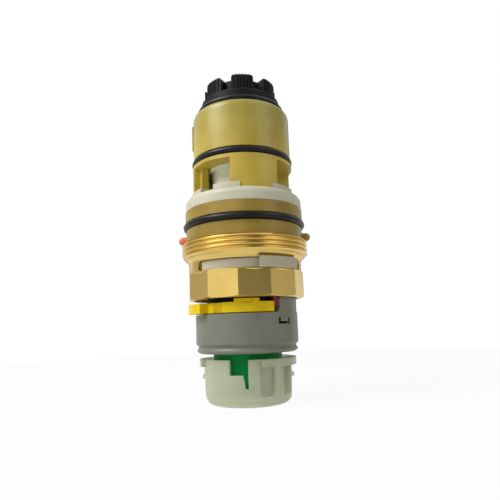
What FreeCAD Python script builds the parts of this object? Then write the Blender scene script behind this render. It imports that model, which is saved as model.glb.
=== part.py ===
"""Thermostatic mixing cartridge with a quarter-turn flow control, millimetres, +Z up.

The origin is the centre of the closed end of the handle adapter, on which the cartridge
stands. +Z runs along the axis towards the castellated inner end. An azimuth is measured
from -Y, the front, towards +X.
"""
import FreeCAD, Part
import math
import os

V = FreeCAD.Vector
ORIGIN = V(0, 0, 0)
AXIS = V(0, 0, 1)

# Clearances
run = 0.06                 # shaft in its bore
face_gap = 0.04            # between faces that slide on each other
free = 0.3                 # between pieces that pass each other
snug = 0.02                # between a piece and the seat it is fixed in
lap = 1.0                  # how far a body reaches into the one it is joined to
past = 1.0                 # how far a cut reaches past the face it opens

# Heights along the axis, from the closed end of the adapter to the tips of the lugs
adapter_h = 15.1
adapter_to_hub = 1.9
flow_hub_h = 12.9
stop_h = 3.3
stop_to_nut = 1.4
nut_flats_h = 9.1
nut_neck_h = 3.9
nut_thread_h = 7.1
lower_land_h = 4.3
lower_groove_w = 2.7
upper_land_h = 3.9
column_h = 15.8
middle_flange_h = 1.2
middle_groove_w = 2.8
barrel_h = 14.5
barrel_nose_h = 2.6
top_groove_w = 2.7
retainer_flange_h = 3.0
lug_h = 5.7

# Rubber ring sections
ring_section = 2.4         # three rings that seal in the valve body
small_section = 1.1        # rings inside the cartridge
small_groove_w = 1.54
wire_flats = 8             # flats that draw the round wire of a spring

# Upper housing
nose_step = 1.45           # nose of the barrel inside its own radius
nose_knee_out = 0.8        # knee of the nose, as shares of its step and height
nose_knee_up = 0.42
top_groove_depth = 2.6
middle_flange_proud = 0.35
middle_groove_depth = 2.16
column_to_lip = 0.75       # radial gap between the columns and the lip of the sleeve
column_span_deg = (         # where each column starts, and its width
    (-11.4, 54.1),
    (106.0, 60.4),
    (225.0, 65.0),
)
chamber_wall = 3.65
top_neck_wall = 1.9
upper_bore_l = 5.2
web_h = 4.0
web_spigot_wall = 1.0
inlet_w = 7.5
inlet_h = 7.0
inlet_drop = 0.6           # top of the inlet below the nose of the barrel
inlet_side = 1.0           # near edge of the inlet, behind the axis
inlet_frame = 1.2
inlet_frame_proud = 0.7

# End retainer
retainer_flange_proud = 0.8
retainer_rim = 0.6         # bevel round the top of the flange
retainer_skirt_l = 0.95
lug_count = 7
lug_deg = 34.4
lug_az = 6.0
lug_set_in = 1.2           # lugs inside the rim of the flange
lug_wall = 4.4
collar_wall = 1.2          # low collar that joins the lugs on their inner side
collar_down = 0.5          # collar below the tips of the lugs
lug_teeth = 7
lug_tooth_depth = 0.35
lug_tooth_gap = 0.45
lug_rounding = 1.3
seat_land = 1.25           # width of the inlet slots over the shuttle
retainer_disc_h = 2.45

# Port ring
port_ring_proud = 0.15
port_wall_h = 2.7
port_shoulder_h = 2.3
port_shoulder_proud = 0.55 # top of the shoulder outside the columns
port_tooth_h = 1.85
port_tooth_proud = 0.4     # teeth outside the outer face of the columns
port_tooth_wall = 3.2
port_arc_steps = 4
column_slack_deg = 0.3
port_step_count = 3        # low gaps before the columns, and as many slits
port_gap_az = 17.1
port_gap_deg = 36.2
port_slit_az = -40.15
port_slit_deg = 18.9

# Lower housing
land_in = 1.6              # land inside the thread of the nut
upper_land_proud = 0.3
lower_groove_depth = 1.35
housing_wall = 2.8
foot_depth = 3.2
shelf_h = 1.8
shelf_land = 0.7
peg_r = 1.5
peg_proud = 3.05
peg_depth = 2.0
peg_lift = 0.1
clip_groove_depth = 1.4

# Mixing sleeve
sleeve_wall = 1.5
sleeve_lip_proud = 1.35
sleeve_lip_h = 1.2
sleeve_spigot_l = 2.6
fin_w = 1.8
fin_count = 3
fin_az = 138.0
fin_past_bore = 0.6

# Ceramic discs
disc_h = 3.5
disc_clear = 0.1
disc_port_deg = 78.0
inner_port_r0 = 5.8
port_inside_sleeve = 0.9   # inner ports inside the bore of the sleeve
port_outside_sleeve = 0.5
outer_port_w = 2.1
port_land = 0.5
disc_pocket_h = 2.0
disc_hole_r = 4.6
seal_h = 2.0
port_pair_count = 2

# Flow driver and its carrier
driver_flange_clear = 0.8
driver_flange_h = 3.3
driver_dog_h = 1.4
driver_dog_deg = 40.0
driver_dog_w = 3.2
dog_clear = 0.2
washer_h = 0.5
washer_clear = 0.2
carrier_step = 1.35        # tube of the carrier inside its plug
carrier_wall = 4.05
carrier_flange_h = 1.4
carrier_plug_l = 11.8
carrier_in = 0.1           # flange of the carrier inside the neck of the housing
snap_ring_h = 1.2
snap_ring_wall = 1.4
snap_ring_up = 1.5
snap_ring_gap_deg = 30.0

# Temperature spindle
spindle_r = 4.7
spindle_thread_r = 3.9
spindle_spline_r = 4.2
collar_r = 7.6
collar_h = 1.6
collar_lift = 0.5          # collar below the face of the driver
spindle_step = 0.5
spindle_lead = 0.6
spindle_ring_up = 2.0      # ring of the spindle above the ring of the driver
spindle_clip_depth = 0.7
spindle_clip_gap_deg = 80.0
spindle_top_over_shelf = 6.6
spindle_clip_h = 1.0
spindle_clip_r = 6.4
spindle_foot = 8.0

# Travelling nut, overload spring and piston
traveller_r = 7.0
traveller_cavity_r = 5.6
traveller_l = 13.4
traveller_thread_l = 4.8
traveller_travel = 2.0
overload_spring_h = 6.4
overload_wire = 1.1
overload_coil_clear = 0.25
overload_turns = 3.5
cup_h = 1.0
cup_boss_r = 3.8
cup_boss_h = 1.2
cup_ring_h = 0.8
cup_ring_w = 1.1
cup_ring_gap_deg = 40.0
fin_set_in = 2.0
piston_r = 1.3
piston_l = 11.8

# Shuttle and wax element
seat_wall = 2.0
shuttle_wall = 2.0
shuttle_ring_down = 1.6
shuttle_gap = 0.95         # open gap at each seat with the shuttle in mid travel
seat_ring_h = 1.7
seat_flange_h = 0.8
spider_h = 2.0
spider_up = 1.35
spider_hub_r = 7.0
spoke_w = 1.8
spoke_count = 3
spoke_az = 60.0
bulb_r = 5.4
bulb_l = 9.5
bulb_clamp_step = 1.2
stem_r = 3.2
stem_l = 9.5
stem_wall = 1.0
return_wire = 1.2
return_turns = 5.0

# Union nut and its clip
thread_r = 22.4            # every radius up to the end retainer follows from this one
thread_step = 2.4
nut_corner_proud = 0.5
nut_flat_count = 12
nut_corner_az = -5.0
nut_wall = 1.7
nut_chamfer = 0.5
nut_corner_cut = 0.9       # chamfer at the foot of the flats, across and in degrees
nut_corner_cut_deg = 30.0
slot_w = 3.4
slot_az = 10.0
slot_deg = 120.0
slot_lift = 0.1            # slot above the flats
clip_h = 3.0
clip_step_in = 0.7
clip_tab_proud = 1.1
clip_tab_az0 = 15.0
clip_tab_az1 = 58.0
clip_tab_h = 3.6
clip_tab_down = 0.15
clip_tab_clear = 0.1
clip_gap_deg = 16.0

# Stop rings
stop_wall = 1.05
stop_band_in = 0.5         # band inside the outer face of the flow hub
stop_lug_proud = 2.5
stop_lug_round = 0.45
stop_lug_az0 = -81.0
stop_lug_az1 = -47.0
stop_band_az1 = 33.0
stop_tab_az0 = -11.5
stop_tab_az1 = 16.0
stop_tab_h = 1.1
stop_tab_in = 0.7          # inner face of the tab outside the hoop
mark_az0 = -3.5            # moulded U on the tab
mark_az1 = 8.5
mark_line_deg = 1.5
mark_line_h = 0.35
mark_h = 1.05
mark_depth = 0.45
waist_az = -31.0
waist_r = 2.6
waist_bite = 0.9
red_hoop_h = 1.1
red_hoop_in = 0.9
red_lug_az0 = 34.0
red_lug_az1 = 39.4

# Flow hub
hub_wall = 1.6
hub_groove_depth = 0.8
hub_bead_in = 0.35
hub_foot_in = 1.3
hub_step = 0.6             # heights of the bead and the groove at the foot
hub_full_h = 3.1           # foot, bead and groove together
hub_web_h = 1.3
hub_boss_wall = 2.2
arm_az0 = 40.0
arm_deg = 145.0
arm_h = 5.1
arm_wall = 2.3
arm_clear = 0.38           # between the arm and the hoop of the yellow ring
arm_set_in = 0.2           # arm inside the outer face of the hub
arm_round = 0.7
arm_foot_fillet = 2.0
latch_az0 = 37.0
latch_az1 = 55.0
latch_h = 1.9
latch_drop = 1.6
latch_slit = 0.5
latch_side_gap = 1.4       # slit beside the tongue, over the slit under it

# Temperature hub
green_r = 11.9
green_wall = 1.6
green_foot = 3.0
green_h = 20.4
green_web_h = 2.2
green_boss_r = 6.0
green_key_w = 5.4
green_key_proud = 0.35
green_key_az = -9.0
green_key_short = 1.0

# Handle adapter
adapter_outside = 2.85     # outer face at the closed end, outside the green hub
adapter_draft = 0.55
adapter_corner = 3.0
adapter_arc_steps = 3
adapter_wall = 1.1
adapter_flange_proud = 1.4
adapter_flange_h = 2.4
adapter_flange_az0 = 18.0
adapter_flange_az1 = 293.0
flute_az = (27.0, 61.0, 119.0, 153.0, 195.0, 229.0)
flute_deg = 25.0
flute_foot = 3.2
flute_h = 9.4
notch_az0 = -22.0
notch_az1 = 1.6
notch_foot = 10.3
slit_az0 = -3.2
slit_foot = 6.1
flute_lap = 0.3
flute_cut_deg = 1.5        # cut inside the walls of the flute, each side
grip_clear = 0.1
notch_reach = 0.5
nub_proud = 0.95
nub_z = 8.5
nub_h = 1.3
nub_deg = 10.0

# Levels that follow from the heights
hub_z0 = adapter_h + adapter_to_hub
hub_z1 = hub_z0 + flow_hub_h
stop_z0 = hub_z1 + free
stop_z1 = stop_z0 + stop_h
nut_z0 = stop_z1 + stop_to_nut
neck_z0 = nut_z0 + nut_flats_h
thread_z0 = neck_z0 + nut_neck_h
nut_z1 = thread_z0 + nut_thread_h
land_z0 = nut_z1 + free
lower_groove_z0 = nut_z1 + free + lower_land_h
lower_groove_z1 = lower_groove_z0 + lower_groove_w
seat_z = lower_groove_z1 + upper_land_h
column_z1 = seat_z + column_h
middle_groove_z0 = column_z1 + middle_flange_h
middle_groove_z1 = middle_groove_z0 + middle_groove_w
nose_z0 = middle_groove_z1 + barrel_h
nose_z1 = nose_z0 + barrel_nose_h
retainer_z0 = nose_z1 + top_groove_w
lug_z0 = retainer_z0 + retainer_flange_h
lug_z1 = lug_z0 + lug_h

foot_z = seat_z - foot_depth
shelf_z = foot_z - shelf_h
fixed_disc_z0 = shelf_z - disc_h
moving_disc_z1 = fixed_disc_z0 - face_gap
moving_disc_z0 = moving_disc_z1 - disc_h
driver_z1 = moving_disc_z0 - face_gap
driver_flange_z0 = driver_z1 - driver_flange_h
carrier_z1 = driver_flange_z0 - washer_h - 2 * face_gap
carrier_flange_z1 = carrier_z1 - carrier_plug_l
carrier_flange_z0 = carrier_flange_z1 - carrier_flange_h
driver_z0 = hub_z1 - hub_web_h - hub_boss_wall
chamber_z0 = column_z1 + web_h
chamber_z1 = retainer_z0 - upper_bore_l
seat_top_z = chamber_z0 + seat_ring_h
retainer_seat_z = retainer_z0 - retainer_skirt_l
shuttle_z0 = seat_top_z + shuttle_gap
shuttle_z1 = retainer_seat_z - shuttle_gap
spider_z0 = shuttle_z0 + spider_up
spider_z1 = spider_z0 + spider_h
stem_z0 = spider_z0 - stem_l
traveller_z0 = shelf_z + traveller_travel + 2 * free
traveller_z1 = traveller_z0 + traveller_l
ledge_z = traveller_z0 + traveller_thread_l
cup_z0 = ledge_z + overload_spring_h
cup_z1 = cup_z0 + cup_h
sleeve_z0 = shelf_z + seal_h
sleeve_z1 = column_z1 - snug
clip_z0 = neck_z0 + slot_lift + (slot_w - clip_h) / 2
clip_z1 = clip_z0 + clip_h
snap_ring_z0 = carrier_flange_z1 + snap_ring_up
driver_ring_z = (carrier_z1 + carrier_flange_z1) / 2
spindle_ring_z = driver_ring_z + spindle_ring_up
spindle_clip_z0 = driver_z0 - free - spindle_clip_h
collar_z0 = driver_z1 - collar_h - collar_lift
shuttle_ring_z = shuttle_z1 - shuttle_ring_down

# Radii that follow from the radii above
nut_neck_r = thread_r - thread_step
nut_corner_r = nut_neck_r + nut_corner_proud
nut_bore_r = nut_neck_r - nut_wall
clip_step_r = nut_neck_r - clip_step_in
clip_tab_r = nut_neck_r + clip_tab_proud
neck_r = nut_bore_r - free
clip_groove_r = neck_r - clip_groove_depth
stack_bore_r = neck_r - housing_wall
disc_r = stack_bore_r - disc_clear
driver_flange_r = stack_bore_r - driver_flange_clear
carrier_tube_r = stack_bore_r - carrier_step
driver_r = carrier_tube_r - carrier_wall
shelf_bore_r = stack_bore_r - shelf_land
outer_port_r1 = shelf_bore_r - port_land
outer_port_r0 = outer_port_r1 - outer_port_w
sleeve_r = outer_port_r0 - port_outside_sleeve
sleeve_bore_r = sleeve_r - sleeve_wall
sleeve_lip_r = sleeve_r + sleeve_lip_proud
inner_port_r1 = sleeve_bore_r - port_inside_sleeve
fin_r = sleeve_bore_r + fin_past_bore
upper_bore_r = sleeve_bore_r + seat_wall
shuttle_bore_r = upper_bore_r - shuttle_wall
return_coil_r = (bulb_r + shuttle_bore_r) / 2
top_neck_r = upper_bore_r + top_neck_wall
barrel_nose_r = top_neck_r + top_groove_depth
barrel_r = barrel_nose_r + nose_step
chamber_r = barrel_r - chamber_wall
land_r = thread_r - land_in
upper_land_r = land_r + upper_land_proud
lower_groove_r = land_r - lower_groove_depth
port_ring_r = land_r + port_ring_proud
middle_flange_r = barrel_r + middle_flange_proud
middle_groove_r = middle_flange_r - middle_groove_depth
column_bore_r = sleeve_lip_r + column_to_lip
retainer_flange_r = top_neck_r + retainer_flange_proud
lug_r = retainer_flange_r - lug_set_in
port_shoulder_r = middle_flange_r + port_shoulder_proud
port_tooth_r = middle_flange_r + port_tooth_proud
port_bore_r = port_tooth_r - port_tooth_wall
peg_tip_r = land_r + peg_proud
peg_z = land_z0 + peg_r + peg_lift
stop_bore_r = carrier_tube_r + snug
arm_r0 = stop_bore_r + stop_wall + arm_clear
arm_r1 = arm_r0 + arm_wall
hub_r = arm_r1 + arm_set_in
hub_bore_r = hub_r - hub_wall
hub_groove_r = hub_r - hub_groove_depth
hub_bead_r = hub_r - hub_bead_in
hub_foot_r = hub_r - hub_foot_in
stop_band_r = hub_r - stop_band_in
stop_lug_r = hub_r + stop_lug_proud
red_hoop_r = hub_r - red_hoop_in
adapter_r_low = green_r + adapter_outside
adapter_r_top = adapter_r_low + adapter_draft
adapter_flange_r = adapter_r_top + adapter_flange_proud
nub_r = adapter_r_low + nub_proud
driver_groove_r = driver_r + run - snug - small_section
spindle_groove_r = spindle_r + run - snug - small_section
shuttle_groove_r = upper_bore_r - snug - small_section
bulb_clamp_r = bulb_r - bulb_clamp_step


# Shapes used again and again
def turned(points, start=0.0, sweep=360.0):
    """A solid of revolution from (r, z) corners, from azimuth start through sweep."""
    corners = [V(0, -r, z) for r, z in points]
    face = Part.Face(Part.makePolygon(corners + corners[:1]))
    solid = face.revolve(ORIGIN, AXIS, sweep)
    if start:
        solid.rotate(ORIGIN, AXIS, start)
    return solid


def ring(r0, r1, z0, z1):
    """A plain ring, or a disc where r0 is 0."""
    return turned([(r0, z0), (r1, z0), (r1, z1), (r0, z1)])


def sector(r0, r1, z0, z1, az0, az1):
    """A piece of a ring between two azimuths."""
    return turned([(r0, z0), (r1, z0), (r1, z1), (r0, z1)], az0, az1 - az0)


def rubber_ring(inner_r, section, z):
    """A rubber ring, its middle at height z."""
    return Part.makeTorus(inner_r + section / 2, section / 2, V(0, 0, z))


def coil(mean_r, wire, z0, z1, turns):
    """A compression spring between two levels, its wire drawn with eight flats."""
    rise = (z1 - z0 - wire) / turns
    helix = Part.makeHelix(rise, rise * turns, mean_r)
    angles = [math.radians(360.0 * (i + 0.5) / wire_flats) for i in range(wire_flats)]
    corners = [V(mean_r + wire / 2 * math.cos(a), 0, wire / 2 * math.sin(a)) for a in angles]
    section = Part.makePolygon(corners + corners[:1])
    pipe = Part.Wire(helix).makePipeShell([section], True, True)
    pipe.translate(V(0, 0, z0 + wire / 2))
    return pipe


def bar(width, r0, r1, z0, z1, az):
    """A straight bar of constant width that points outward at an azimuth."""
    block = Part.makeBox(width, r1 - r0, z1 - z0, V(-width / 2, -r1, z0))
    block.rotate(ORIGIN, AXIS, az)
    return block


def spread(count, first):
    """Evenly spaced azimuths."""
    return [first + 360.0 * i / count for i in range(count)]


def quarter(steps):
    """The angles of a quarter turn, from 0."""
    return [math.pi / 2 * i / steps for i in range(steps + 1)]


def split_ring(r0, r1, z0, z1, gap_deg):
    """A ring with a gap at the front."""
    return sector(r0, r1, z0, z1, gap_deg / 2, 360.0 - gap_deg / 2)


def radial_pin(r, r0, r1, z, az, nose=False):
    """A round pin that points outward at an azimuth, with a ball nose if asked."""
    end = r1 - r if nose else r1
    pin = Part.makeCylinder(r, end - r0, V(0, -r0, z), V(0, -1, 0))
    if nose:
        pin = pin.fuse(Part.makeSphere(r, V(0, -end, z)))
    pin.rotate(ORIGIN, AXIS, az)
    return pin


def near(one, other):
    return abs(one - other) < 0.01


def softened(shape, radius, chosen):
    """Rounds the edges whose middle passes a test."""
    return shape.makeFillet(radius, [e for e in shape.Edges if chosen(e.CenterOfMass)])


# The upper housing carries the barrel, and stands on columns between the water windows
def upper_housing():
    barrel = turned([
        (upper_bore_r, chamber_z1), (upper_bore_r, retainer_z0), (top_neck_r, retainer_z0),
        (top_neck_r, nose_z1), (barrel_nose_r, nose_z1),
        (barrel_nose_r + nose_knee_out * nose_step, nose_z0 + nose_knee_up * barrel_nose_h),
        (barrel_r, nose_z0), (barrel_r, middle_groove_z1),
        (middle_groove_r, middle_groove_z1), (middle_groove_r, middle_groove_z0),
        (middle_flange_r, middle_groove_z0), (middle_flange_r, column_z1),
        (upper_web_r(), column_z1), (upper_web_r(), chamber_z0), (chamber_r, chamber_z0),
        (chamber_r, chamber_z1)])
    columns = [sector(column_bore_r, middle_flange_r, foot_z, column_z1 + middle_flange_h / 2,
                      az, az + wide) for az, wide in column_span_deg]
    frame_az = [-90.0 - math.degrees(math.asin(y / barrel_r)) for y in
                (inlet_side - inlet_frame, inlet_side + inlet_w + inlet_frame)]
    inlet_z1 = nose_z0 - inlet_drop
    inlet_z0 = inlet_z1 - inlet_h
    frame = sector(chamber_r + lap, barrel_r + inlet_frame_proud, inlet_z0 - inlet_frame,
                   inlet_z1 + inlet_frame, frame_az[1], frame_az[0])
    inlet = Part.makeBox(barrel_r, inlet_w, inlet_h, V(-1.5 * barrel_r, inlet_side, inlet_z0))
    return barrel.fuse(columns + [frame]).removeSplitter().cut(inlet)


def upper_web_r():
    """The web under the thermostat chamber takes the spigot of the mixing sleeve."""
    return sleeve_bore_r + web_spigot_wall


def end_retainer():
    slot_r = upper_bore_r - snug - seat_land
    body = turned([
        (0, retainer_seat_z + retainer_skirt_l), (slot_r - seat_land, retainer_z0),
        (slot_r - seat_land, retainer_seat_z), (upper_bore_r - snug, retainer_seat_z),
        (upper_bore_r - snug, retainer_z0), (retainer_flange_r, retainer_z0),
        (retainer_flange_r, lug_z0 - retainer_rim), (retainer_flange_r - retainer_rim, lug_z0),
        (slot_r, lug_z0), (slot_r, retainer_z0 + retainer_disc_h),
        (0, retainer_z0 + retainer_disc_h)])
    lug = sector(lug_r - lug_wall, lug_r, lug_z0 - lap, lug_z1, -lug_deg / 2, lug_deg / 2)
    half_w = lug_r * math.sin(math.radians(lug_deg / 2))
    envelope = Part.makeBox(2 * half_w, 2 * lug_r, lug_h + lug_rounding,
                            V(-half_w, -2 * lug_r, lug_z0 - lug_rounding))
    lug = lug.common(softened(envelope, lug_rounding,
                              lambda e: near(e.z, lug_z1) and near(abs(e.x), half_w)))
    pitch = lug_deg / lug_teeth
    for i in range(1, lug_teeth):
        az = -lug_deg / 2 + pitch * i
        lug = lug.cut(bar(lug_tooth_gap, lug_r - lug_tooth_depth, lug_r + past,
                          lug_z0 + lug_tooth_gap, lug_z1 + past, az))
    lugs = []
    for az in spread(lug_count, lug_az):
        piece = lug.copy()
        piece.rotate(ORIGIN, AXIS, az)
        lugs.append(piece)
    collar_r = lug_r - lug_wall + collar_wall
    collar = ring(lug_r - lug_wall, collar_r, lug_z0 - lap, lug_z1 - collar_down)
    body = body.fuse(lugs + [collar])
    gap = 360.0 / lug_count - lug_deg
    for az in spread(lug_count, lug_az + 180.0 / lug_count):
        body = body.cut(sector(slot_r, top_neck_r - lap, retainer_seat_z - past,
                               lug_z0 + past, az - gap / 2, az + gap / 2))
    return body


def port_ring():
    wall_z = seat_z + port_wall_h
    top_z = wall_z + port_shoulder_h
    shoulder = [(port_ring_r - (port_ring_r - port_shoulder_r) * (1 - math.cos(t)),
                 wall_z + port_shoulder_h * math.sin(t)) for t in quarter(port_arc_steps)]
    body = turned([(port_bore_r, seat_z), (port_ring_r, seat_z)] + shoulder
                  + [(port_bore_r, top_z)])
    body = body.fuse(ring(port_bore_r, port_tooth_r, top_z - lap, top_z + port_tooth_h))
    end_z = top_z + port_tooth_h + past
    for az, wide in column_span_deg:
        body = body.cut(sector(port_bore_r - past, middle_flange_r + snug, seat_z - past, end_z,
                               az - column_slack_deg, az + wide + column_slack_deg))
    for first, wide in ((port_gap_az, port_gap_deg), (port_slit_az, port_slit_deg)):
        for az in spread(port_step_count, first):
            body = body.cut(sector(port_bore_r - past, port_ring_r, top_z, end_z,
                                   az - wide / 2, az + wide / 2))
    return body


def lower_housing():
    body = turned([
        (stack_bore_r, carrier_flange_z1), (neck_r, carrier_flange_z1),
        (neck_r, clip_z0 - free), (clip_groove_r, clip_z0 - free),
        (clip_groove_r, clip_z1 + free), (neck_r, clip_z1 + free),
        (neck_r, land_z0), (land_r, land_z0), (land_r, lower_groove_z0),
        (lower_groove_r, lower_groove_z0), (lower_groove_r, lower_groove_z1),
        (upper_land_r, lower_groove_z1), (upper_land_r, seat_z),
        (middle_flange_r + snug, seat_z), (middle_flange_r + snug, foot_z),
        (shelf_bore_r, foot_z), (shelf_bore_r, shelf_z), (stack_bore_r, shelf_z)])
    body = body.fuse(radial_pin(peg_r, land_r - lap, peg_tip_r, peg_z, 90.0, nose=True))
    return body.cut(radial_pin(peg_r + snug, land_r - peg_depth, land_r + past, peg_z, -90.0))


def hot_peg():
    return radial_pin(peg_r, land_r - peg_depth, peg_tip_r, peg_z, -90.0, nose=True)


def mixing_sleeve():
    body = turned([
        (sleeve_bore_r, sleeve_z0), (sleeve_r, sleeve_z0), (sleeve_r, sleeve_z1 - sleeve_lip_h),
        (sleeve_lip_r, sleeve_z1 - sleeve_lip_h), (sleeve_lip_r, sleeve_z1),
        (upper_web_r() - snug, sleeve_z1), (upper_web_r() - snug, sleeve_z1 + sleeve_spigot_l),
        (sleeve_bore_r, sleeve_z1 + sleeve_spigot_l)])
    for az in spread(fin_count, fin_az):
        body = body.cut(bar(fin_w + 4 * run, 0, fin_r + 2 * run, sleeve_z0 - past,
                            sleeve_z1 - 2 * sleeve_lip_h, az))
    return body


# The ceramic discs: ports in the fixed one, pockets in the one that turns
def port_pair(z0, z1, az, joined):
    half = disc_port_deg / 2
    if joined:
        return [sector(inner_port_r0, outer_port_r1, z0, z1, az - half, az + half)]
    return [sector(inner_port_r0, inner_port_r1, z0, z1, az - half, az + half),
            sector(outer_port_r0, outer_port_r1, z0, z1, az - half, az + half)]


def fixed_disc():
    disc = ring(disc_hole_r, disc_r, fixed_disc_z0, shelf_z)
    for az in spread(port_pair_count, 0.0):
        disc = disc.cut(port_pair(fixed_disc_z0 - past, shelf_z + past, az, joined=False))
    return disc


def moving_disc():
    disc = ring(disc_hole_r, disc_r - free / 2, moving_disc_z0, moving_disc_z1)
    for az in spread(port_pair_count, 90.0):
        disc = disc.cut(port_pair(moving_disc_z1 - disc_pocket_h, moving_disc_z1 + past, az,
                                  joined=True))
    for az in spread(port_pair_count, 0.0):
        disc = disc.cut(dog(az, moving_disc_z0 - past, moving_disc_z0 + driver_dog_h, run))
    return disc


def dog(az, z0, z1, grow):
    half = driver_dog_deg / 2
    return sector(driver_flange_r - driver_dog_w - grow, driver_flange_r + 2 * grow, z0, z1,
                  az - half - 2 * grow, az + half + 2 * grow)


def disc_seal():
    return turned([(sleeve_bore_r, shelf_z), (sleeve_r, shelf_z), (sleeve_r, sleeve_z0),
                   (sleeve_bore_r, sleeve_z0)])


# What turns the discs, and what carries it
def flow_driver():
    bore = spindle_r + run
    half = small_groove_w / 2
    body = turned([
        (bore, driver_z0), (driver_r, driver_z0), (driver_r, driver_ring_z - half),
        (driver_groove_r, driver_ring_z - half), (driver_groove_r, driver_ring_z + half),
        (driver_r, driver_ring_z + half), (driver_r, driver_flange_z0),
        (driver_flange_r, driver_flange_z0), (driver_flange_r, driver_z1),
        (collar_r + free, driver_z1), (collar_r + free, collar_z0 - face_gap),
        (bore, collar_z0 - face_gap)])
    dogs = [dog(az, driver_z1 - lap, moving_disc_z0 + driver_dog_h - dog_clear, 0.0)
            for az in spread(port_pair_count, 0.0)]
    return body.fuse(dogs)


def driver_oring():
    return rubber_ring(driver_groove_r, small_section, driver_ring_z)


def slip_washer():
    return ring(driver_r + washer_clear, driver_flange_r - washer_clear,
                driver_flange_z0 - washer_h, driver_flange_z0)


def carrier():
    flange_r = neck_r - carrier_in
    plug_r = stack_bore_r - snug
    ring_r = stack_bore_r - snap_ring_wall / 2
    ring_z1 = snap_ring_z0 + snap_ring_h
    return turned([
        (driver_r + run, stop_z0 - free / 2), (carrier_tube_r, stop_z0 - free / 2),
        (carrier_tube_r, carrier_flange_z0), (flange_r, carrier_flange_z0),
        (flange_r, carrier_flange_z1), (plug_r, carrier_flange_z1), (plug_r, snap_ring_z0),
        (ring_r, snap_ring_z0), (ring_r, ring_z1), (plug_r, ring_z1), (plug_r, carrier_z1),
        (driver_r + run, carrier_z1)])


def snap_ring():
    return split_ring(stack_bore_r - snap_ring_wall / 2, stack_bore_r - snug,
                      snap_ring_z0 + snug, snap_ring_z0 + snap_ring_h - snug, snap_ring_gap_deg)


# The temperature spindle, from the hub to the travelling nut
def temperature_spindle():
    top = shelf_z + spindle_top_over_shelf
    clip_z0, clip_z1 = spindle_clip_z0, spindle_clip_z0 + spindle_clip_h
    clip_seat_r = spindle_r - spindle_clip_depth
    half = small_groove_w / 2
    return turned([
        (0, spindle_foot), (spindle_spline_r, spindle_foot),
        (spindle_spline_r, clip_z0 - spindle_step), (spindle_r, clip_z0 - spindle_step),
        (spindle_r, clip_z0), (clip_seat_r, clip_z0), (clip_seat_r, clip_z1),
        (spindle_r, clip_z1), (spindle_r, spindle_ring_z - half),
        (spindle_groove_r, spindle_ring_z - half), (spindle_groove_r, spindle_ring_z + half),
        (spindle_r, spindle_ring_z + half), (spindle_r, collar_z0), (collar_r, collar_z0),
        (collar_r, collar_z0 + collar_h), (spindle_thread_r, collar_z0 + collar_h),
        (spindle_thread_r, top - spindle_lead), (spindle_thread_r - spindle_lead, top), (0, top)])


def spindle_oring():
    return rubber_ring(spindle_groove_r, small_section, spindle_ring_z)


def spindle_clip():
    return split_ring(spindle_r - spindle_clip_depth + snug, spindle_clip_r,
                      spindle_clip_z0 + snug, spindle_clip_z0 + spindle_clip_h - snug,
                      spindle_clip_gap_deg)


# The travelling nut rides on the spindle thread and carries the overload spring
def travelling_nut():
    body = turned([
        (spindle_thread_r + run, traveller_z0), (traveller_r, traveller_z0),
        (traveller_r, traveller_z1), (traveller_cavity_r, traveller_z1),
        (traveller_cavity_r, ledge_z), (spindle_thread_r + run, ledge_z)])
    fins = [bar(fin_w, traveller_r - lap, fin_r, traveller_z0 + fin_set_in,
                traveller_z1 - fin_set_in, az)
            for az in spread(fin_count, fin_az)]
    return body.fuse(fins)


def overload_spring():
    return coil(traveller_cavity_r - overload_wire / 2 - overload_coil_clear, overload_wire,
                ledge_z, cup_z0, overload_turns)


def cup_ring():
    z0 = cup_z1 + face_gap
    return split_ring(traveller_cavity_r - cup_ring_w, traveller_cavity_r - snug, z0,
                      z0 + cup_ring_h, cup_ring_gap_deg)


def overload_cup():
    return turned([(0, cup_z0 - cup_boss_h), (cup_boss_r, cup_z0 - cup_boss_h),
                   (cup_boss_r, cup_z0), (traveller_cavity_r - free / 2, cup_z0),
                   (traveller_cavity_r - free / 2, cup_z1), (0, cup_z1)])


def element_piston():
    return ring(0, piston_r, cup_z1, cup_z1 + piston_l)


# The shuttle meters both inlets, and the wax element moves it
def shuttle():
    wall = upper_bore_r - run
    half = small_groove_w / 2
    body = turned([
        (shuttle_bore_r, shuttle_z0), (wall, shuttle_z0), (wall, shuttle_ring_z - half),
        (shuttle_groove_r, shuttle_ring_z - half), (shuttle_groove_r, shuttle_ring_z + half),
        (wall, shuttle_ring_z + half), (wall, shuttle_z1), (shuttle_bore_r, shuttle_z1)])
    spider = [ring(bulb_clamp_r + snug, spider_hub_r, spider_z0, spider_z1)]
    spider += [bar(spoke_w, spider_hub_r - lap, shuttle_bore_r + shuttle_wall / 4, spider_z0,
                   spider_z1, az) for az in spread(spoke_count, spoke_az)]
    return body.fuse(spider)


def shuttle_oring():
    return rubber_ring(shuttle_groove_r, small_section, shuttle_ring_z)


def thermostat_element():
    return turned([
        (piston_r + run, stem_z0), (stem_r, stem_z0), (stem_r, spider_z0 - stem_wall),
        (bulb_clamp_r, spider_z0 - stem_wall), (bulb_clamp_r, spider_z1), (bulb_r, spider_z1),
        (bulb_r, spider_z1 + bulb_l - stem_wall), (bulb_r - stem_wall, spider_z1 + bulb_l),
        (0, spider_z1 + bulb_l), (0, spider_z0 + stem_wall),
        (piston_r + run, spider_z0 + stem_wall)])


def return_spring():
    return coil(return_coil_r, return_wire, spider_z1, retainer_z0, return_turns)


def seat_ring():
    return turned([(sleeve_bore_r, chamber_z0), (chamber_r - snug, chamber_z0),
                   (chamber_r - snug, chamber_z0 + seat_flange_h),
                   (upper_bore_r, chamber_z0 + seat_flange_h), (upper_bore_r, seat_top_z),
                   (sleeve_bore_r, seat_top_z)])


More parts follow.
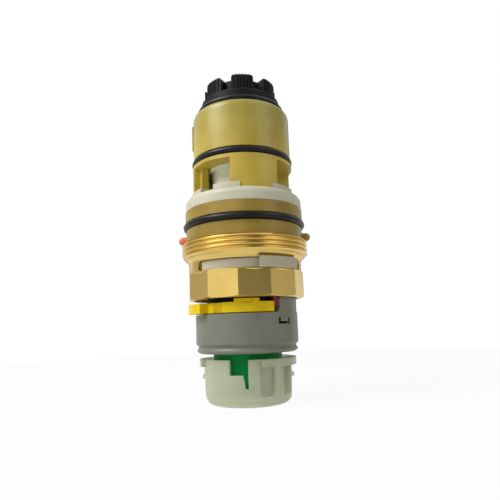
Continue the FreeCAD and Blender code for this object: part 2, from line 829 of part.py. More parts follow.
# The union nut and the clip that holds it on the lower housing
def brass_nut():
    body = turned([
        (nut_bore_r, neck_z0), (nut_neck_r, neck_z0), (nut_neck_r, thread_z0),
        (thread_r, thread_z0 + thread_step), (thread_r, nut_z1 - nut_chamfer),
        (thread_r - nut_chamfer, nut_z1), (nut_bore_r, nut_z1)])
    corners = [V(nut_corner_r * math.sin(math.radians(az)),
                 -nut_corner_r * math.cos(math.radians(az)), nut_z0)
               for az in spread(nut_flat_count, nut_corner_az)]
    prism = Part.Face(Part.makePolygon(corners + corners[:1])).extrude(V(0, 0, nut_flats_h))
    foot_h = nut_corner_cut * math.tan(math.radians(nut_corner_cut_deg))
    barrel = turned([(nut_bore_r, nut_z0), (nut_corner_r - nut_corner_cut, nut_z0),
                     (nut_corner_r, nut_z0 + foot_h), (nut_corner_r, neck_z0),
                     (nut_bore_r, neck_z0)])
    prism = prism.common(barrel)
    body = body.fuse(prism)
    for az in (slot_az, slot_az + 180.0):
        body = body.cut(nut_slot(az))
    return body


def nut_slot(az):
    """A long slot with round ends through the neck of the nut."""
    z0 = neck_z0 + slot_lift
    end = slot_deg / 2 - math.degrees(slot_w / 2 / nut_neck_r)
    middle = z0 + slot_w / 2
    cut = sector(nut_bore_r - past, thread_r + past, z0, z0 + slot_w, az - end, az + end)
    ends = [radial_pin(slot_w / 2, nut_bore_r - past, thread_r + past, middle, az + side * end)
            for side in (-1, 1)]
    return cut.fuse(ends)


def nut_clip():
    inner = clip_groove_r + free
    gap_az = slot_az + 90.0
    body = sector(inner, nut_bore_r - snug, clip_z0, clip_z1, gap_az + clip_gap_deg / 2,
                  gap_az + 360.0 - clip_gap_deg / 2)
    reach = slot_deg / 2 - math.degrees(slot_w / nut_neck_r)
    steps = [sector(nut_bore_r - lap, clip_step_r, clip_z0, clip_z1, az - reach, az + reach)
             for az in (slot_az, slot_az + 180.0)]
    tab_z0 = clip_z0 - clip_tab_down
    stem = sector(clip_step_r - lap, clip_tab_r, clip_z0, clip_z1, clip_tab_az0, clip_tab_az1)
    tab = sector(nut_neck_r + clip_tab_clear, clip_tab_r, tab_z0, tab_z0 + clip_tab_h,
                 clip_tab_az0, clip_tab_az1)
    return body.fuse(steps + [stem, tab])


# The two stop rings on the carrier
def yellow_stop_ring():
    hoop_r = stop_bore_r + stop_wall
    hoop = ring(stop_bore_r, hoop_r, stop_z0, stop_z1)
    band = sector(hoop_r - stop_wall / 2, stop_band_r, stop_z0, stop_z1, stop_lug_az0,
                  stop_band_az1)
    lug = sector(stop_band_r - lap, stop_lug_r, stop_z0, stop_z1, stop_lug_az0, stop_lug_az1)
    lug = softened(lug, stop_lug_round,
                   lambda e: near(math.hypot(e.x, e.y), stop_lug_r)
                   and near(e.z, (stop_z0 + stop_z1) / 2))
    tab = sector(hoop_r + stop_tab_in, stop_band_r, stop_z1 - lap, stop_z1 + stop_tab_h,
                 stop_tab_az0, stop_tab_az1)
    body = hoop.fuse([band, lug, tab])
    waist = Part.makeCylinder(waist_r, stop_h + 2 * past,
                              V(0, -stop_band_r - waist_r + waist_bite, stop_z0 - past))
    waist.rotate(ORIGIN, AXIS, waist_az)
    mark_z1 = stop_z1 + (stop_tab_h + mark_line_h) / 2
    mark = sector(stop_band_r - mark_depth, stop_band_r + past, mark_z1 - mark_h, mark_z1,
                  mark_az0, mark_az1)
    tongue = sector(stop_band_r - lap, stop_band_r + 2 * past, mark_z1 - mark_h + mark_line_h,
                    mark_z1 + past, mark_az0 + mark_line_deg, mark_az1 - mark_line_deg)
    return body.cut([waist, mark.cut(tongue)])


def red_stop_ring():
    hoop_z0 = carrier_flange_z0 - red_hoop_h
    hoop = ring(stop_bore_r, red_hoop_r, hoop_z0, carrier_flange_z0)
    lug = sector(stop_bore_r + stop_wall + free, red_hoop_r, hub_z1 + arm_foot_fillet + free,
                 hoop_z0 + red_hoop_h / 2, red_lug_az0, red_lug_az1)
    return hoop.fuse(lug)


# The flow hub turns the discs; its arm runs between the two stops
def flow_hub():
    boss_r = driver_r + hub_boss_wall
    body = turned([
        (hub_bore_r, hub_z0), (hub_foot_r, hub_z0), (hub_bead_r, hub_z0 + hub_step),
        (hub_bead_r, hub_z0 + 2 * hub_step), (hub_groove_r, hub_z0 + 3 * hub_step),
        (hub_groove_r, hub_z0 + 4 * hub_step), (hub_r, hub_z0 + hub_full_h), (hub_r, hub_z1),
        (driver_r, hub_z1), (driver_r, driver_z0), (boss_r, driver_z0),
        (boss_r, hub_z1 - hub_web_h), (hub_bore_r, hub_z1 - hub_web_h)])
    arm_z1 = hub_z1 + arm_h
    arm = sector(arm_r0, arm_r1, hub_z1 - lap, arm_z1, arm_az0, arm_az0 + arm_deg)
    ends = [V(math.sin(math.radians(az)), -math.cos(math.radians(az)), 0)
            for az in (arm_az0, arm_az0 + arm_deg)]
    arm = softened(arm, arm_round,
                   lambda e: near(e.z, arm_z1)
                   and any(near((e - end * (arm_r0 + arm_r1) / 2).Length, arm_z1) for end in ends))
    foot_deg = math.degrees(arm_foot_fillet / hub_r)
    foot = sector(arm_r0, arm_r1, hub_z1 - lap, hub_z1 + arm_foot_fillet, arm_az0 - foot_deg,
                  arm_az0 + foot_deg)
    hollow = radial_pin(arm_foot_fillet, hub_r - 2 * arm_wall, hub_r + past,
                        hub_z1 + arm_foot_fillet, arm_az0 - foot_deg)
    body = body.fuse([arm, foot.cut(hollow)])
    slit_z1 = hub_z1 - latch_drop
    window = sector(hub_bore_r - past, hub_r + past, slit_z1 - latch_h, slit_z1, latch_az0,
                    latch_az1)
    slit_deg = latch_side_gap * math.degrees(latch_slit / hub_r)
    tongue = sector(hub_bore_r - 2 * past, hub_r + 2 * past, slit_z1 - latch_h + latch_slit,
                    slit_z1 + past, latch_az0 + slit_deg, latch_az1 - slit_deg)
    return body.cut(window.cut(tongue))


def temperature_hub():
    top = green_foot + green_h
    web = top - green_web_h
    body = turned([
        (green_r - green_wall, green_foot), (green_r, green_foot), (green_r, top),
        (spindle_spline_r, top), (spindle_spline_r, spindle_foot),
        (green_boss_r, spindle_foot), (green_boss_r, web), (green_r - green_wall, web)])
    key = bar(green_key_w, green_r - lap, green_r + green_key_proud, green_foot,
              top - green_key_short, green_key_az)
    return body.fuse(key)


def handle_adapter():
    low, corner, wall = adapter_r_low, adapter_corner, adapter_wall
    bend = quarter(adapter_arc_steps)
    outside = [(low - corner + corner * math.sin(t), corner - corner * math.cos(t)) for t in bend]
    inner = corner - wall
    inside = [(low - corner + inner * math.sin(t), corner - inner * math.cos(t)) for t in bend]
    body = turned([(0, 0)] + outside + [(adapter_r_top, adapter_h),
                                        (adapter_r_top - wall, adapter_h)]
                  + inside[::-1] + [(0, wall)])
    grip_r = green_r + green_key_proud + grip_clear
    flute_z1 = flute_foot + flute_h
    for az in flute_az:
        half = flute_deg / 2
        body = body.fuse(sector(green_r + snug, low - wall + flute_lap, wall - flute_lap,
                                flute_z1 + wall, az - half, az + half))
        half -= flute_cut_deg
        body = body.cut(sector(grip_r + wall - flute_lap, adapter_r_top + past, flute_foot,
                               flute_z1, az - half, az + half))
    body = body.fuse(sector(adapter_r_top - wall, adapter_flange_r,
                            adapter_h - adapter_flange_h, adapter_h, adapter_flange_az0,
                            adapter_flange_az1))
    for az in (-90.0, 90.0):
        body = body.fuse(sector(low - flute_lap, nub_r, nub_z, nub_z + nub_h,
                                az - nub_deg / 2, az + nub_deg / 2))
    for az, foot in ((notch_az0, notch_foot), (slit_az0, slit_foot)):
        body = body.cut(sector(green_r + notch_reach, adapter_flange_r + past, foot,
                               adapter_h + past, az, notch_az1))
    return body


NODES = {
    "upper_housing": upper_housing,
    "end_retainer": end_retainer,
    "oring_top": lambda: rubber_ring(top_neck_r, ring_section, nose_z1 + top_groove_w / 2),
    "oring_middle": lambda: rubber_ring(middle_groove_r, ring_section,
                                        middle_groove_z0 + middle_groove_w / 2),
    "oring_lower": lambda: rubber_ring(lower_groove_r, ring_section,
                                       lower_groove_z0 + lower_groove_w / 2),
    "port_ring": port_ring,
    "lower_housing": lower_housing,
    "hot_peg": hot_peg,
    "mixing_sleeve": mixing_sleeve,
    "seat_ring": seat_ring,
    "fixed_disc": fixed_disc,
    "disc_seal": disc_seal,
    "carrier": carrier,
    "carrier_snap_ring": snap_ring,
    "yellow_stop_ring": yellow_stop_ring,
    "red_stop_ring": red_stop_ring,
    "brass_nut": brass_nut,
    "nut_clip": nut_clip,
    "flow_hub": flow_hub,
    "flow_driver": flow_driver,
    "moving_disc": moving_disc,
    "driver_oring": driver_oring,
    "slip_washer": slip_washer,
    "temperature_hub": temperature_hub,
    "temperature_spindle": temperature_spindle,
    "spindle_oring": spindle_oring,
    "spindle_clip": spindle_clip,
    "handle_adapter": handle_adapter,
    "travelling_nut": travelling_nut,
    "overload_spring": overload_spring,
    "cup_ring": cup_ring,
    "overload_cup": overload_cup,
    "element_piston": element_piston,
    "shuttle": shuttle,
    "shuttle_oring": shuttle_oring,
    "thermostat_element": thermostat_element,
    "return_spring": return_spring,
}

os.makedirs("parts", exist_ok=True)
for name, make in NODES.items():
    shape = make()
    shape.exportStep(os.path.join("parts", name + ".step"))
    box = shape.BoundBox
    print("%-20s valid %s solids %d volume %.1f z %.2f to %.2f r %.2f" % (
        name, shape.isValid(), len(shape.Solids), shape.Volume, box.ZMin, box.ZMax, box.XMax))
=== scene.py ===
"""A thermostatic cartridge with a turning flow hub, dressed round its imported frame.

Lengths are metres in the frame's own axes: +Z runs along the cartridge to its inner end, and
-Y is the front. Sizes written in millimetres are multiplied by MM where they are used. An
azimuth is measured from the front towards +X, in degrees.
"""
import math

import bmesh
import bpy
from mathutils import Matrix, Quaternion, Vector


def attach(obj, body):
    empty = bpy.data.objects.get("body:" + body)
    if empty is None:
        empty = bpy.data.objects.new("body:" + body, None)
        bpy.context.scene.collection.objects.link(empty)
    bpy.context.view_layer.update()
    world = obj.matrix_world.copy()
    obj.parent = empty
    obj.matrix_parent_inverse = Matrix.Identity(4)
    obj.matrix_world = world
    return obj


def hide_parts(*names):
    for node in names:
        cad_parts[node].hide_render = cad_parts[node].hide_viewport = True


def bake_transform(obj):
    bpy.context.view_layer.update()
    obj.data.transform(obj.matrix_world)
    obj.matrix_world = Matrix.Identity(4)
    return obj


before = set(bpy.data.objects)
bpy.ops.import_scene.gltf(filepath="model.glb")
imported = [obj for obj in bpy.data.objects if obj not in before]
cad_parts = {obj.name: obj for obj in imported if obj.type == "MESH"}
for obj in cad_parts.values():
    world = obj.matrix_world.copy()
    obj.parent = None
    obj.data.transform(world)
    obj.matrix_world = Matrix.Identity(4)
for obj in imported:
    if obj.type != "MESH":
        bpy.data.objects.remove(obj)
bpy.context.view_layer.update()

MM = 0.001


# The view: a phone held close to the cartridge, near its foot and tilted up a little.
# The distance, tilt and roll come from the two drawn lengths and the curves of the rings.
camera_distance = 165 * MM
camera_side = 4.9 * MM
camera_height = 24.9 * MM
camera_tilt = math.radians(9.65)
camera_swing = math.radians(-1.03)
camera_roll = math.radians(-1.89)
focal_px = 462.0
picture_px = 500.0
sensor_mm = 36.0

camera_data = bpy.data.cameras.new("view")
camera_data.sensor_width = sensor_mm
camera_data.lens = sensor_mm * focal_px / picture_px
camera_data.clip_start = 10 * MM
camera = bpy.data.objects.new("view", camera_data)
bpy.context.scene.collection.objects.link(camera)
camera.location = (camera_side, -camera_distance, camera_height)
look = Vector((math.sin(camera_swing) * math.cos(camera_tilt),
               math.cos(camera_swing) * math.cos(camera_tilt), math.sin(camera_tilt)))
camera.rotation_mode = "QUATERNION"
camera.rotation_quaternion = Quaternion(look, -camera_roll) @ look.to_track_quat("-Z", "Y")
bpy.context.scene.camera = camera
bpy.context.scene.view_settings.view_transform = "Standard"


# The studio: a pale floor and a pale room, one large soft lamp at the front left and a
# weaker one at the right. Grey cards that only mirrors see give the brass its contrast.
floor_side = 6.0
floor_white_from = 0.35
floor_cover = 0.93
room_light = 0.3
card_reach = 0.5
card_middle = 0.15
card_height = 0.9
lamp_aim = Vector((0, 0, 60 * MM))


def new_material(name):
    """A node material and its shader, ready for links."""
    material = bpy.data.materials.new(name)
    material.use_nodes = True
    tree = material.node_tree
    return material, tree.nodes, tree.links, tree.nodes["Principled BSDF"]


def feed(links, socket, value):
    """A socket takes another socket's output, or a plain value."""
    if isinstance(value, bpy.types.NodeSocket):
        links.new(value, socket)
    else:
        socket.default_value = value


def sum_node(nodes, links, operation, *values):
    """A math node over sockets or numbers, and its result."""
    node = nodes.new("ShaderNodeMath")
    node.operation = operation
    for socket, value in zip(node.inputs, values):
        feed(links, socket, value)
    return node.outputs[0]


def seen_by_eye_or_mirror(nodes, links):
    """1 on the rays of the camera, of mirrors and of clear things, and 0 on the others."""
    path = nodes.new("ShaderNodeLightPath")
    mirrored = sum_node(nodes, links, "MAXIMUM", path.outputs["Is Glossy Ray"],
                        path.outputs["Is Transmission Ray"])
    return sum_node(nodes, links, "MAXIMUM", mirrored, path.outputs["Is Camera Ray"])


bpy.ops.object.select_all(action="DESELECT")
bpy.ops.mesh.primitive_plane_add(size=floor_side)
floor = bpy.context.object
floor.name = "floor"
floor_material, nodes, links, shader = new_material("pale_floor")
shader.inputs["Base Color"].default_value = (0.85, 0.85, 0.85, 1)
shader.inputs["Roughness"].default_value = 0.9
white = nodes.new("ShaderNodeEmission")
away = nodes.new("ShaderNodeVectorMath")
away.operation = "LENGTH"
links.new(nodes.new("ShaderNodeTexCoord").outputs["Object"], away.inputs[0])
far = sum_node(nodes, links, "DIVIDE", away.outputs["Value"], floor_white_from)
cover = sum_node(nodes, links, "MINIMUM", sum_node(nodes, links, "MAXIMUM", far, floor_cover), 1.0)
blend = nodes.new("ShaderNodeMixShader")
links.new(sum_node(nodes, links, "MULTIPLY", cover, seen_by_eye_or_mirror(nodes, links)),
          blend.inputs["Fac"])
links.new(shader.outputs["BSDF"], blend.inputs[1])
links.new(white.outputs["Emission"], blend.inputs[2])
links.new(blend.outputs["Shader"], nodes["Material Output"].inputs["Surface"])
floor.data.materials.append(floor_material)

world = bpy.data.worlds.new("room")
world.use_nodes = True
bpy.context.scene.world = world
nodes, links = world.node_tree.nodes, world.node_tree.links
room = nodes["Background"]
room.inputs["Color"].default_value = (1, 1, 1, 1)
level = nodes.new("ShaderNodeMapRange")
level.inputs["To Min"].default_value = room_light
level.inputs["To Max"].default_value = 1.0
links.new(seen_by_eye_or_mirror(nodes, links), level.inputs["Value"])
links.new(level.outputs["Result"], room.inputs["Strength"])


def lamp(name, side, watts, azimuth, height, distance):
    """A square area lamp that looks at the middle of the cartridge."""
    data = bpy.data.lights.new(name, "AREA")
    data.size = side
    data.energy = watts
    made = bpy.data.objects.new(name, data)
    bpy.context.scene.collection.objects.link(made)
    turn = math.radians(azimuth)
    made.location = (distance * math.sin(turn), -distance * math.cos(turn), height)
    made.rotation_mode = "QUATERNION"
    made.rotation_quaternion = (lamp_aim - made.location).to_track_quat("-Z", "Y")


def card(name, azimuth, width, shade):
    """An upright grey card that only mirrors see."""
    turn = math.radians(azimuth)
    bpy.ops.object.select_all(action="DESELECT")
    bpy.ops.mesh.primitive_plane_add(
        size=1, rotation=(math.radians(90), 0, turn),
        location=(card_reach * math.sin(turn), -card_reach * math.cos(turn), card_middle))
    made = bpy.context.object
    made.name = name
    made.scale = (width, card_height, 1)
    card_material, card_nodes, card_links, _ = new_material(name)
    glow = card_nodes.new("ShaderNodeEmission")
    glow.inputs["Color"].default_value = (shade, shade, shade, 1)
    card_links.new(glow.outputs["Emission"], card_nodes["Material Output"].inputs["Surface"])
    made.data.materials.append(card_material)
    made.visible_camera = False
    made.visible_diffuse = False
    made.visible_shadow = False


lamp("front_left_lamp", side=0.30, watts=3.2, azimuth=-60, height=0.48, distance=0.44)
lamp("right_lamp", side=0.40, watts=0.5, azimuth=60, height=0.45, distance=0.55)
card("card_front", azimuth=22, width=0.30, shade=0.05)
card("card_right", azimuth=100, width=0.55, shade=0.42)
card("card_left", azimuth=-100, width=0.55, shade=0.55)
card("card_back", azimuth=180, width=0.6, shade=0.35)


# Lower housing: the darker amber body that holds the disc stack and the lower rubber ring.
# Moulded in a hard amber resin; one locating peg is moulded on, and a coral one pressed in.
housing_foot = 38.44
neck_r = 18.0
stack_bore_r = 15.2
clip_groove = (16.6, 44.15, 47.75)
land_r = 20.8
land_z0 = 55.3
seal_groove = (19.45, 59.6, 62.3)
upper_land_r = 21.1
seat_z = 66.2
foot_r = 18.22
foot_z = 63.0
shelf_bore_r = 14.5
shelf_z = 61.2
peg_r = 1.5
peg_tip_r = 23.85
peg_z = 56.9
peg_depth = 2.0
peg_steps = 48
housing_edge = 0.18
steps_round = 240      # sides of a turned body, and how far its first corner is turned
seam_deg = 0.31
wedge_step_deg = 1.5
weld = 0.002           # corners closer than this are merged
sliver = 0.004         # and after a cut those closer than this
near = 0.1             # how far from its edge a corner may lie to be picked
past = 1.0             # how far a cutting or a joining body reaches past a surface
snug = 0.02            # room between faces that would otherwise lie in one another


def turned_body(name, corners, steps=steps_round, seam=seam_deg):
    """A circle extruded ring by ring round its section, from (r, z) corners in millimetres.
    A section that starts and ends on the axis makes a solid plug, and any other a ring."""
    solid = corners[0][0] == 0
    rings = corners[1:-1] if solid else corners
    r, z = rings[0]
    bpy.ops.object.select_all(action="DESELECT")
    bpy.ops.mesh.primitive_circle_add(vertices=steps, radius=r * MM, location=(0, 0, z * MM),
                                      rotation=(0, 0, math.radians(seam)))
    body = bpy.context.object
    body.name = name
    bpy.ops.object.transform_apply(location=True, rotation=True)
    bpy.ops.object.mode_set(mode="EDIT")
    bpy.ops.mesh.select_all(action="SELECT")
    if solid:
        bpy.ops.mesh.edge_face_add()
        bpy.ops.mesh.poke()
        pick(lambda v: abs(math.hypot(v.x, v.y) - r * MM) < weld * MM)
    for next_r, next_z in rings[1:] + ([] if solid else rings[:1]):
        bpy.ops.mesh.extrude_region_move(
            TRANSFORM_OT_translate={"value": (0, 0, (next_z - z) * MM)})
        if next_r != r:
            bpy.ops.transform.resize(value=(next_r / r, next_r / r, 1),
                                     center_override=(0, 0, next_z * MM))
        r, z = next_r, next_z
    if solid:
        bpy.ops.mesh.edge_face_add()
        bpy.ops.mesh.poke()
    tidy_mesh()
    return body


def pick(test):
    """Selects the vertices of the mesh in edit mode that pass a test."""
    bpy.ops.mesh.select_all(action="DESELECT")
    bpy.ops.mesh.select_mode(type="VERT")
    mesh = bmesh.from_edit_mesh(bpy.context.object.data)
    for vertex in mesh.verts:
        vertex.select_set(test(vertex.co))
    mesh.select_flush_mode()
    bmesh.update_edit_mesh(bpy.context.object.data)


def tidy_mesh():
    """Closes a mesh in edit mode where its rings meet, and turns its faces outwards."""
    bpy.ops.mesh.select_mode(type="VERT")
    bpy.ops.mesh.select_all(action="SELECT")
    bpy.ops.mesh.remove_doubles(threshold=weld * MM)
    bpy.ops.mesh.normals_make_consistent(inside=False)
    bpy.ops.object.mode_set(mode="OBJECT")


def azimuth_of(point):
    """Degrees from the front towards +X, from -180 to 180."""
    return math.degrees(math.atan2(point.x, -point.y))


def wedge(name, r0, r1, z0, z1, az0, az1, steps=None):
    """A sector of a ring: an upright plate spun round the axis."""
    turn = math.radians(az0)
    middle = (r0 + r1) / 2 * MM
    bpy.ops.object.select_all(action="DESELECT")
    bpy.ops.mesh.primitive_plane_add(
        size=1, rotation=(math.radians(90), 0, turn - math.radians(90)),
        location=(middle * math.sin(turn), -middle * math.cos(turn), (z0 + z1) / 2 * MM))
    body = bpy.context.object
    body.name = name
    body.scale = ((r1 - r0) * MM, (z1 - z0) * MM, 1)
    bpy.ops.object.transform_apply(location=True, rotation=True, scale=True)
    bpy.ops.object.mode_set(mode="EDIT")
    bpy.ops.mesh.select_all(action="SELECT")
    bpy.ops.mesh.spin(steps=steps or max(3, round((az1 - az0) / wedge_step_deg)),
                      angle=-math.radians(az1 - az0), center=(0, 0, 0), axis=(0, 0, 1))
    tidy_mesh()
    return body


def box_at(name, low, high, azimuth=0.0):
    """A box between two corners in millimetres, turned about the axis."""
    bpy.ops.object.select_all(action="DESELECT")
    bpy.ops.mesh.primitive_cube_add(size=1)
    body = bpy.context.object
    body.name = name
    body.scale = [(b - a) * MM for a, b in zip(low, high)]
    body.location = [(a + b) / 2 * MM for a, b in zip(low, high)]
    bpy.ops.object.transform_apply(location=True, scale=True)
    body.rotation_euler = (0, 0, math.radians(azimuth))
    bpy.ops.object.transform_apply(rotation=True)
    return body


def rod_at(name, radius, r0, r1, z, azimuth):
    """A round rod that points outwards at an azimuth."""
    turn = math.radians(azimuth)
    middle = (r0 + r1) / 2 * MM
    bpy.ops.object.select_all(action="DESELECT")
    bpy.ops.mesh.primitive_cylinder_add(
        vertices=steps_round // 5, radius=radius * MM, depth=(r1 - r0) * MM,
        location=(middle * math.sin(turn), -middle * math.cos(turn), z * MM),
        rotation=(math.radians(90), 0, turn))
    body = bpy.context.object
    body.name = name
    bpy.ops.object.transform_apply(location=True, rotation=True)
    return body


def alone(piece):
    """Makes a piece the active one, and the only one that is selected."""
    bpy.ops.object.select_all(action="DESELECT")
    piece.select_set(True)
    bpy.context.view_layer.objects.active = piece


def joined(bodies):
    """Bodies that stand clear of each other, as one."""
    alone(bodies[0])
    for body in bodies:
        body.select_set(True)
    bpy.ops.object.join()
    return bodies[0]


def combine(piece, operation, *others):
    """Boolean work on a piece with other bodies, which are used up. Slivers are merged and
    pinholes closed after each."""
    for other in others:
        tool = piece.modifiers.new("shape", "BOOLEAN")
        tool.operation = operation
        tool.solver = "EXACT"
        tool.object = other
        alone(piece)
        bpy.ops.object.modifier_apply(modifier=tool.name)
        bpy.data.objects.remove(other)
        bpy.ops.object.mode_set(mode="EDIT")
        bpy.ops.mesh.select_mode(type="VERT")
        bpy.ops.mesh.select_all(action="SELECT")
        bpy.ops.mesh.remove_doubles(threshold=sliver * MM)
        bpy.ops.mesh.dissolve_degenerate(threshold=weld * MM)
        bpy.ops.mesh.select_all(action="SELECT")
        bpy.ops.mesh.fill_holes(sides=8)
        bpy.ops.object.mode_set(mode="OBJECT")


def rounded(piece, width, segments=2, sharp=30.0, even_flats=True):
    """Small round edges all over a piece, and smooth shading between them, led by its flats."""
    alone(piece)
    if width:
        bevel = piece.modifiers.new("edges", "BEVEL")
        bevel.width = width * MM
        bevel.segments = segments
        bevel.limit_method = "ANGLE"
        bevel.angle_limit = math.radians(sharp)
        bevel.miter_outer = "MITER_ARC"
        bpy.ops.object.modifier_apply(modifier=bevel.name)
    bpy.ops.object.shade_smooth_by_angle(angle=math.radians(sharp))
    if even_flats:
        even = piece.modifiers.new("flats", "WEIGHTED_NORMAL")
        even.keep_sharp = True
        bpy.ops.object.modifier_apply(modifier=even.name)
    return piece


def fitted(piece, body, material, node):
    """The finish of a piece, the body that it moves with and the node that it stands for."""
    piece.data.materials.clear()
    piece.data.materials.append(material)
    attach(piece, body)
    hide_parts(node)


def new_group(name, inputs, outputs):
    """A shader node group with named sockets: the group, its inputs and its outputs."""
    group = bpy.data.node_groups.new(name, "ShaderNodeTree")
    for label, kind, value in inputs:
        socket = group.interface.new_socket(label, in_out="INPUT", socket_type=kind)
        if value is not None:
            socket.default_value = value
    for label, kind in outputs:
        group.interface.new_socket(label, in_out="OUTPUT", socket_type=kind)
    entry = group.nodes.new("NodeGroupInput")
    leave = group.nodes.new("NodeGroupOutput")
    return group, entry.outputs, leave.inputs


def noise_node(nodes, links, vector, scale, detail):
    """Soft noise over a vector."""
    noise = nodes.new("ShaderNodeTexNoise")
    noise.inputs["Detail"].default_value = detail
    links.new(vector, noise.inputs["Vector"])
    feed(links, noise.inputs["Scale"], scale)
    return noise.outputs["Fac"]


def stretched(nodes, links, value, low, high, to_low=0.0, to_high=1.0):
    """A value between two levels, stretched to two others."""
    span = nodes.new("ShaderNodeMapRange")
    labels = ("Value", "From Min", "From Max", "To Min", "To Max")
    for label, given in zip(labels, (value, low, high, to_low, to_high)):
        feed(links, span.inputs[label], given)
    return span.outputs["Result"]


def mixed(nodes, links, factor, first, second, kind="MIX"):
    """Two colours mixed by a factor."""
    mix = nodes.new("ShaderNodeMix")
    mix.data_type = "RGBA"
    mix.blend_type = kind
    for label, value in (("Factor", factor), ("A", first), ("B", second)):
        feed(links, next(s for s in mix.inputs if s.name == label and s.enabled), value)
    return next(s for s in mix.outputs if s.enabled)


# The skin that all moulded pieces share: slow clouds in the colour, a tint of painted shade that
# changes along the axis, fine grain from the tool, and gloss that changes a little from place to
# place.
relief_depth = 0.05 * MM
moulded_skin, given, result = new_group(
    "moulded_skin",
    [("Vector", "NodeSocketVector", None), ("Light Tone", "NodeSocketColor", (1, 1, 1, 1)),
     ("Dark Tone", "NodeSocketColor", (0.5, 0.5, 0.5, 1)),
     ("Low Shade Tint", "NodeSocketColor", (1, 1, 1, 1)),
     ("High Shade Tint", "NodeSocketColor", (1, 1, 1, 1)),
     ("Low Level", "NodeSocketFloat", 0.0), ("High Level", "NodeSocketFloat", 0.1),
     ("Cloud Size", "NodeSocketFloat", 120.0), ("Grain Size", "NodeSocketFloat", 4000.0),
     ("Gloss Low", "NodeSocketFloat", 0.3), ("Gloss High", "NodeSocketFloat", 0.4)],
    [("Colour", "NodeSocketColor"), ("Roughness", "NodeSocketFloat"),
     ("Height", "NodeSocketFloat")])
nodes, links = moulded_skin.nodes, moulded_skin.links
cloud = noise_node(nodes, links, given["Vector"], given["Cloud Size"], 4.0)
grain = noise_node(nodes, links, given["Vector"], given["Grain Size"], 2.0)
clouded = mixed(nodes, links, stretched(nodes, links, cloud, 0.3, 0.7), given["Dark Tone"],
                given["Light Tone"])
# Painted shade: the clouded colour is multiplied by a tint that runs between two levels along the
# axis.
split = nodes.new("ShaderNodeSeparateXYZ")
links.new(given["Vector"], split.inputs[0])
share = stretched(nodes, links, split.outputs["Z"], given["Low Level"], given["High Level"])
shade_tint = mixed(nodes, links, share, given["Low Shade Tint"], given["High Shade Tint"])
links.new(mixed(nodes, links, 1.0, clouded, shade_tint, "MULTIPLY"), result["Colour"])
links.new(stretched(nodes, links, cloud, 0.3, 0.7, given["Gloss Low"], given["Gloss High"]),
          result["Roughness"])
links.new(grain, result["Height"])


def tone(red, green, blue):
    """A colour as it is read off a screen, 0 to 255, in the linear values of a shader."""
    def linear(level_255):
        share = level_255 / 255
        return share / 12.92 if share <= 0.04045 else ((share + 0.055) / 1.055) ** 2.4
    return (linear(red), linear(green), linear(blue), 1.0)


def skinned(name, group, values, relief):
    """A material that takes its colour, gloss and fine relief from a skin group."""
    material, nodes, links, shader = new_material(name)
    skin = nodes.new("ShaderNodeGroup")
    skin.node_tree = group
    links.new(nodes.new("ShaderNodeTexCoord").outputs["Object"], skin.inputs["Vector"])
    for label, value in values.items():
        skin.inputs[label].default_value = value
    bump = nodes.new("ShaderNodeBump")
    bump.inputs["Strength"].default_value = relief
    bump.inputs["Distance"].default_value = relief_depth
    links.new(skin.outputs["Height"], bump.inputs["Height"])
    links.new(skin.outputs["Colour"], shader.inputs["Base Color"])
    links.new(skin.outputs["Roughness"], shader.inputs["Roughness"])
    links.new(bump.outputs["Normal"], shader.inputs["Normal"])
    return material, shader


def moulded(name, light, dark, gloss=(0.32, 0.45), cloud_size=120.0, grain=0.06, specular=0.4,
            rise=None, glow=0.0):
    """A moulded plastic between a light and a dark tone, with the shared skin. rise is two
    levels in millimetres and the tints of painted shade at each, and glow is the light that it
    lets in."""
    values = {"Light Tone": light, "Dark Tone": dark, "Cloud Size": cloud_size,
              "Gloss Low": gloss[0], "Gloss High": gloss[1]}
    # rise paints shade: the colour is tinted from one level to the other along the axis.
    if rise:
        low_level, high_level, low_shade_tint, high_shade_tint = rise
        values.update({"Low Shade Tint": low_shade_tint, "High Shade Tint": high_shade_tint,
                       "Low Level": low_level * MM, "High Level": high_level * MM})
    material, shader = skinned(name, moulded_skin, values, grain)
    shader.inputs["Specular IOR Level"].default_value = specular
    if glow:
        shader.inputs["Subsurface Weight"].default_value = glow
        shader.inputs["Subsurface Radius"].default_value = (1.0, 0.7, 0.35)
        shader.inputs["Subsurface Scale"].default_value = 1.5 * MM
    return material


def locating_peg(name, azimuth, inner_r):
    """A round peg with a ball nose, turned upright and then laid outwards."""
    straight = peg_tip_r - inner_r - peg_r
    nose = [math.radians(a) for a in range(0, 90, 15)]
    corners = [(0, 0), (peg_r, 0)]
    corners += [(peg_r * math.cos(a), straight + peg_r * math.sin(a)) for a in nose]
    peg = turned_body(name, corners + [(0, straight + peg_r)], peg_steps)
    turn = math.radians(azimuth)
    peg.rotation_euler = (math.radians(90), 0, turn)
    peg.location = (inner_r * MM * math.sin(turn), -inner_r * MM * math.cos(turn), peg_z * MM)
    bpy.ops.object.transform_apply(location=True, rotation=True)
    return peg


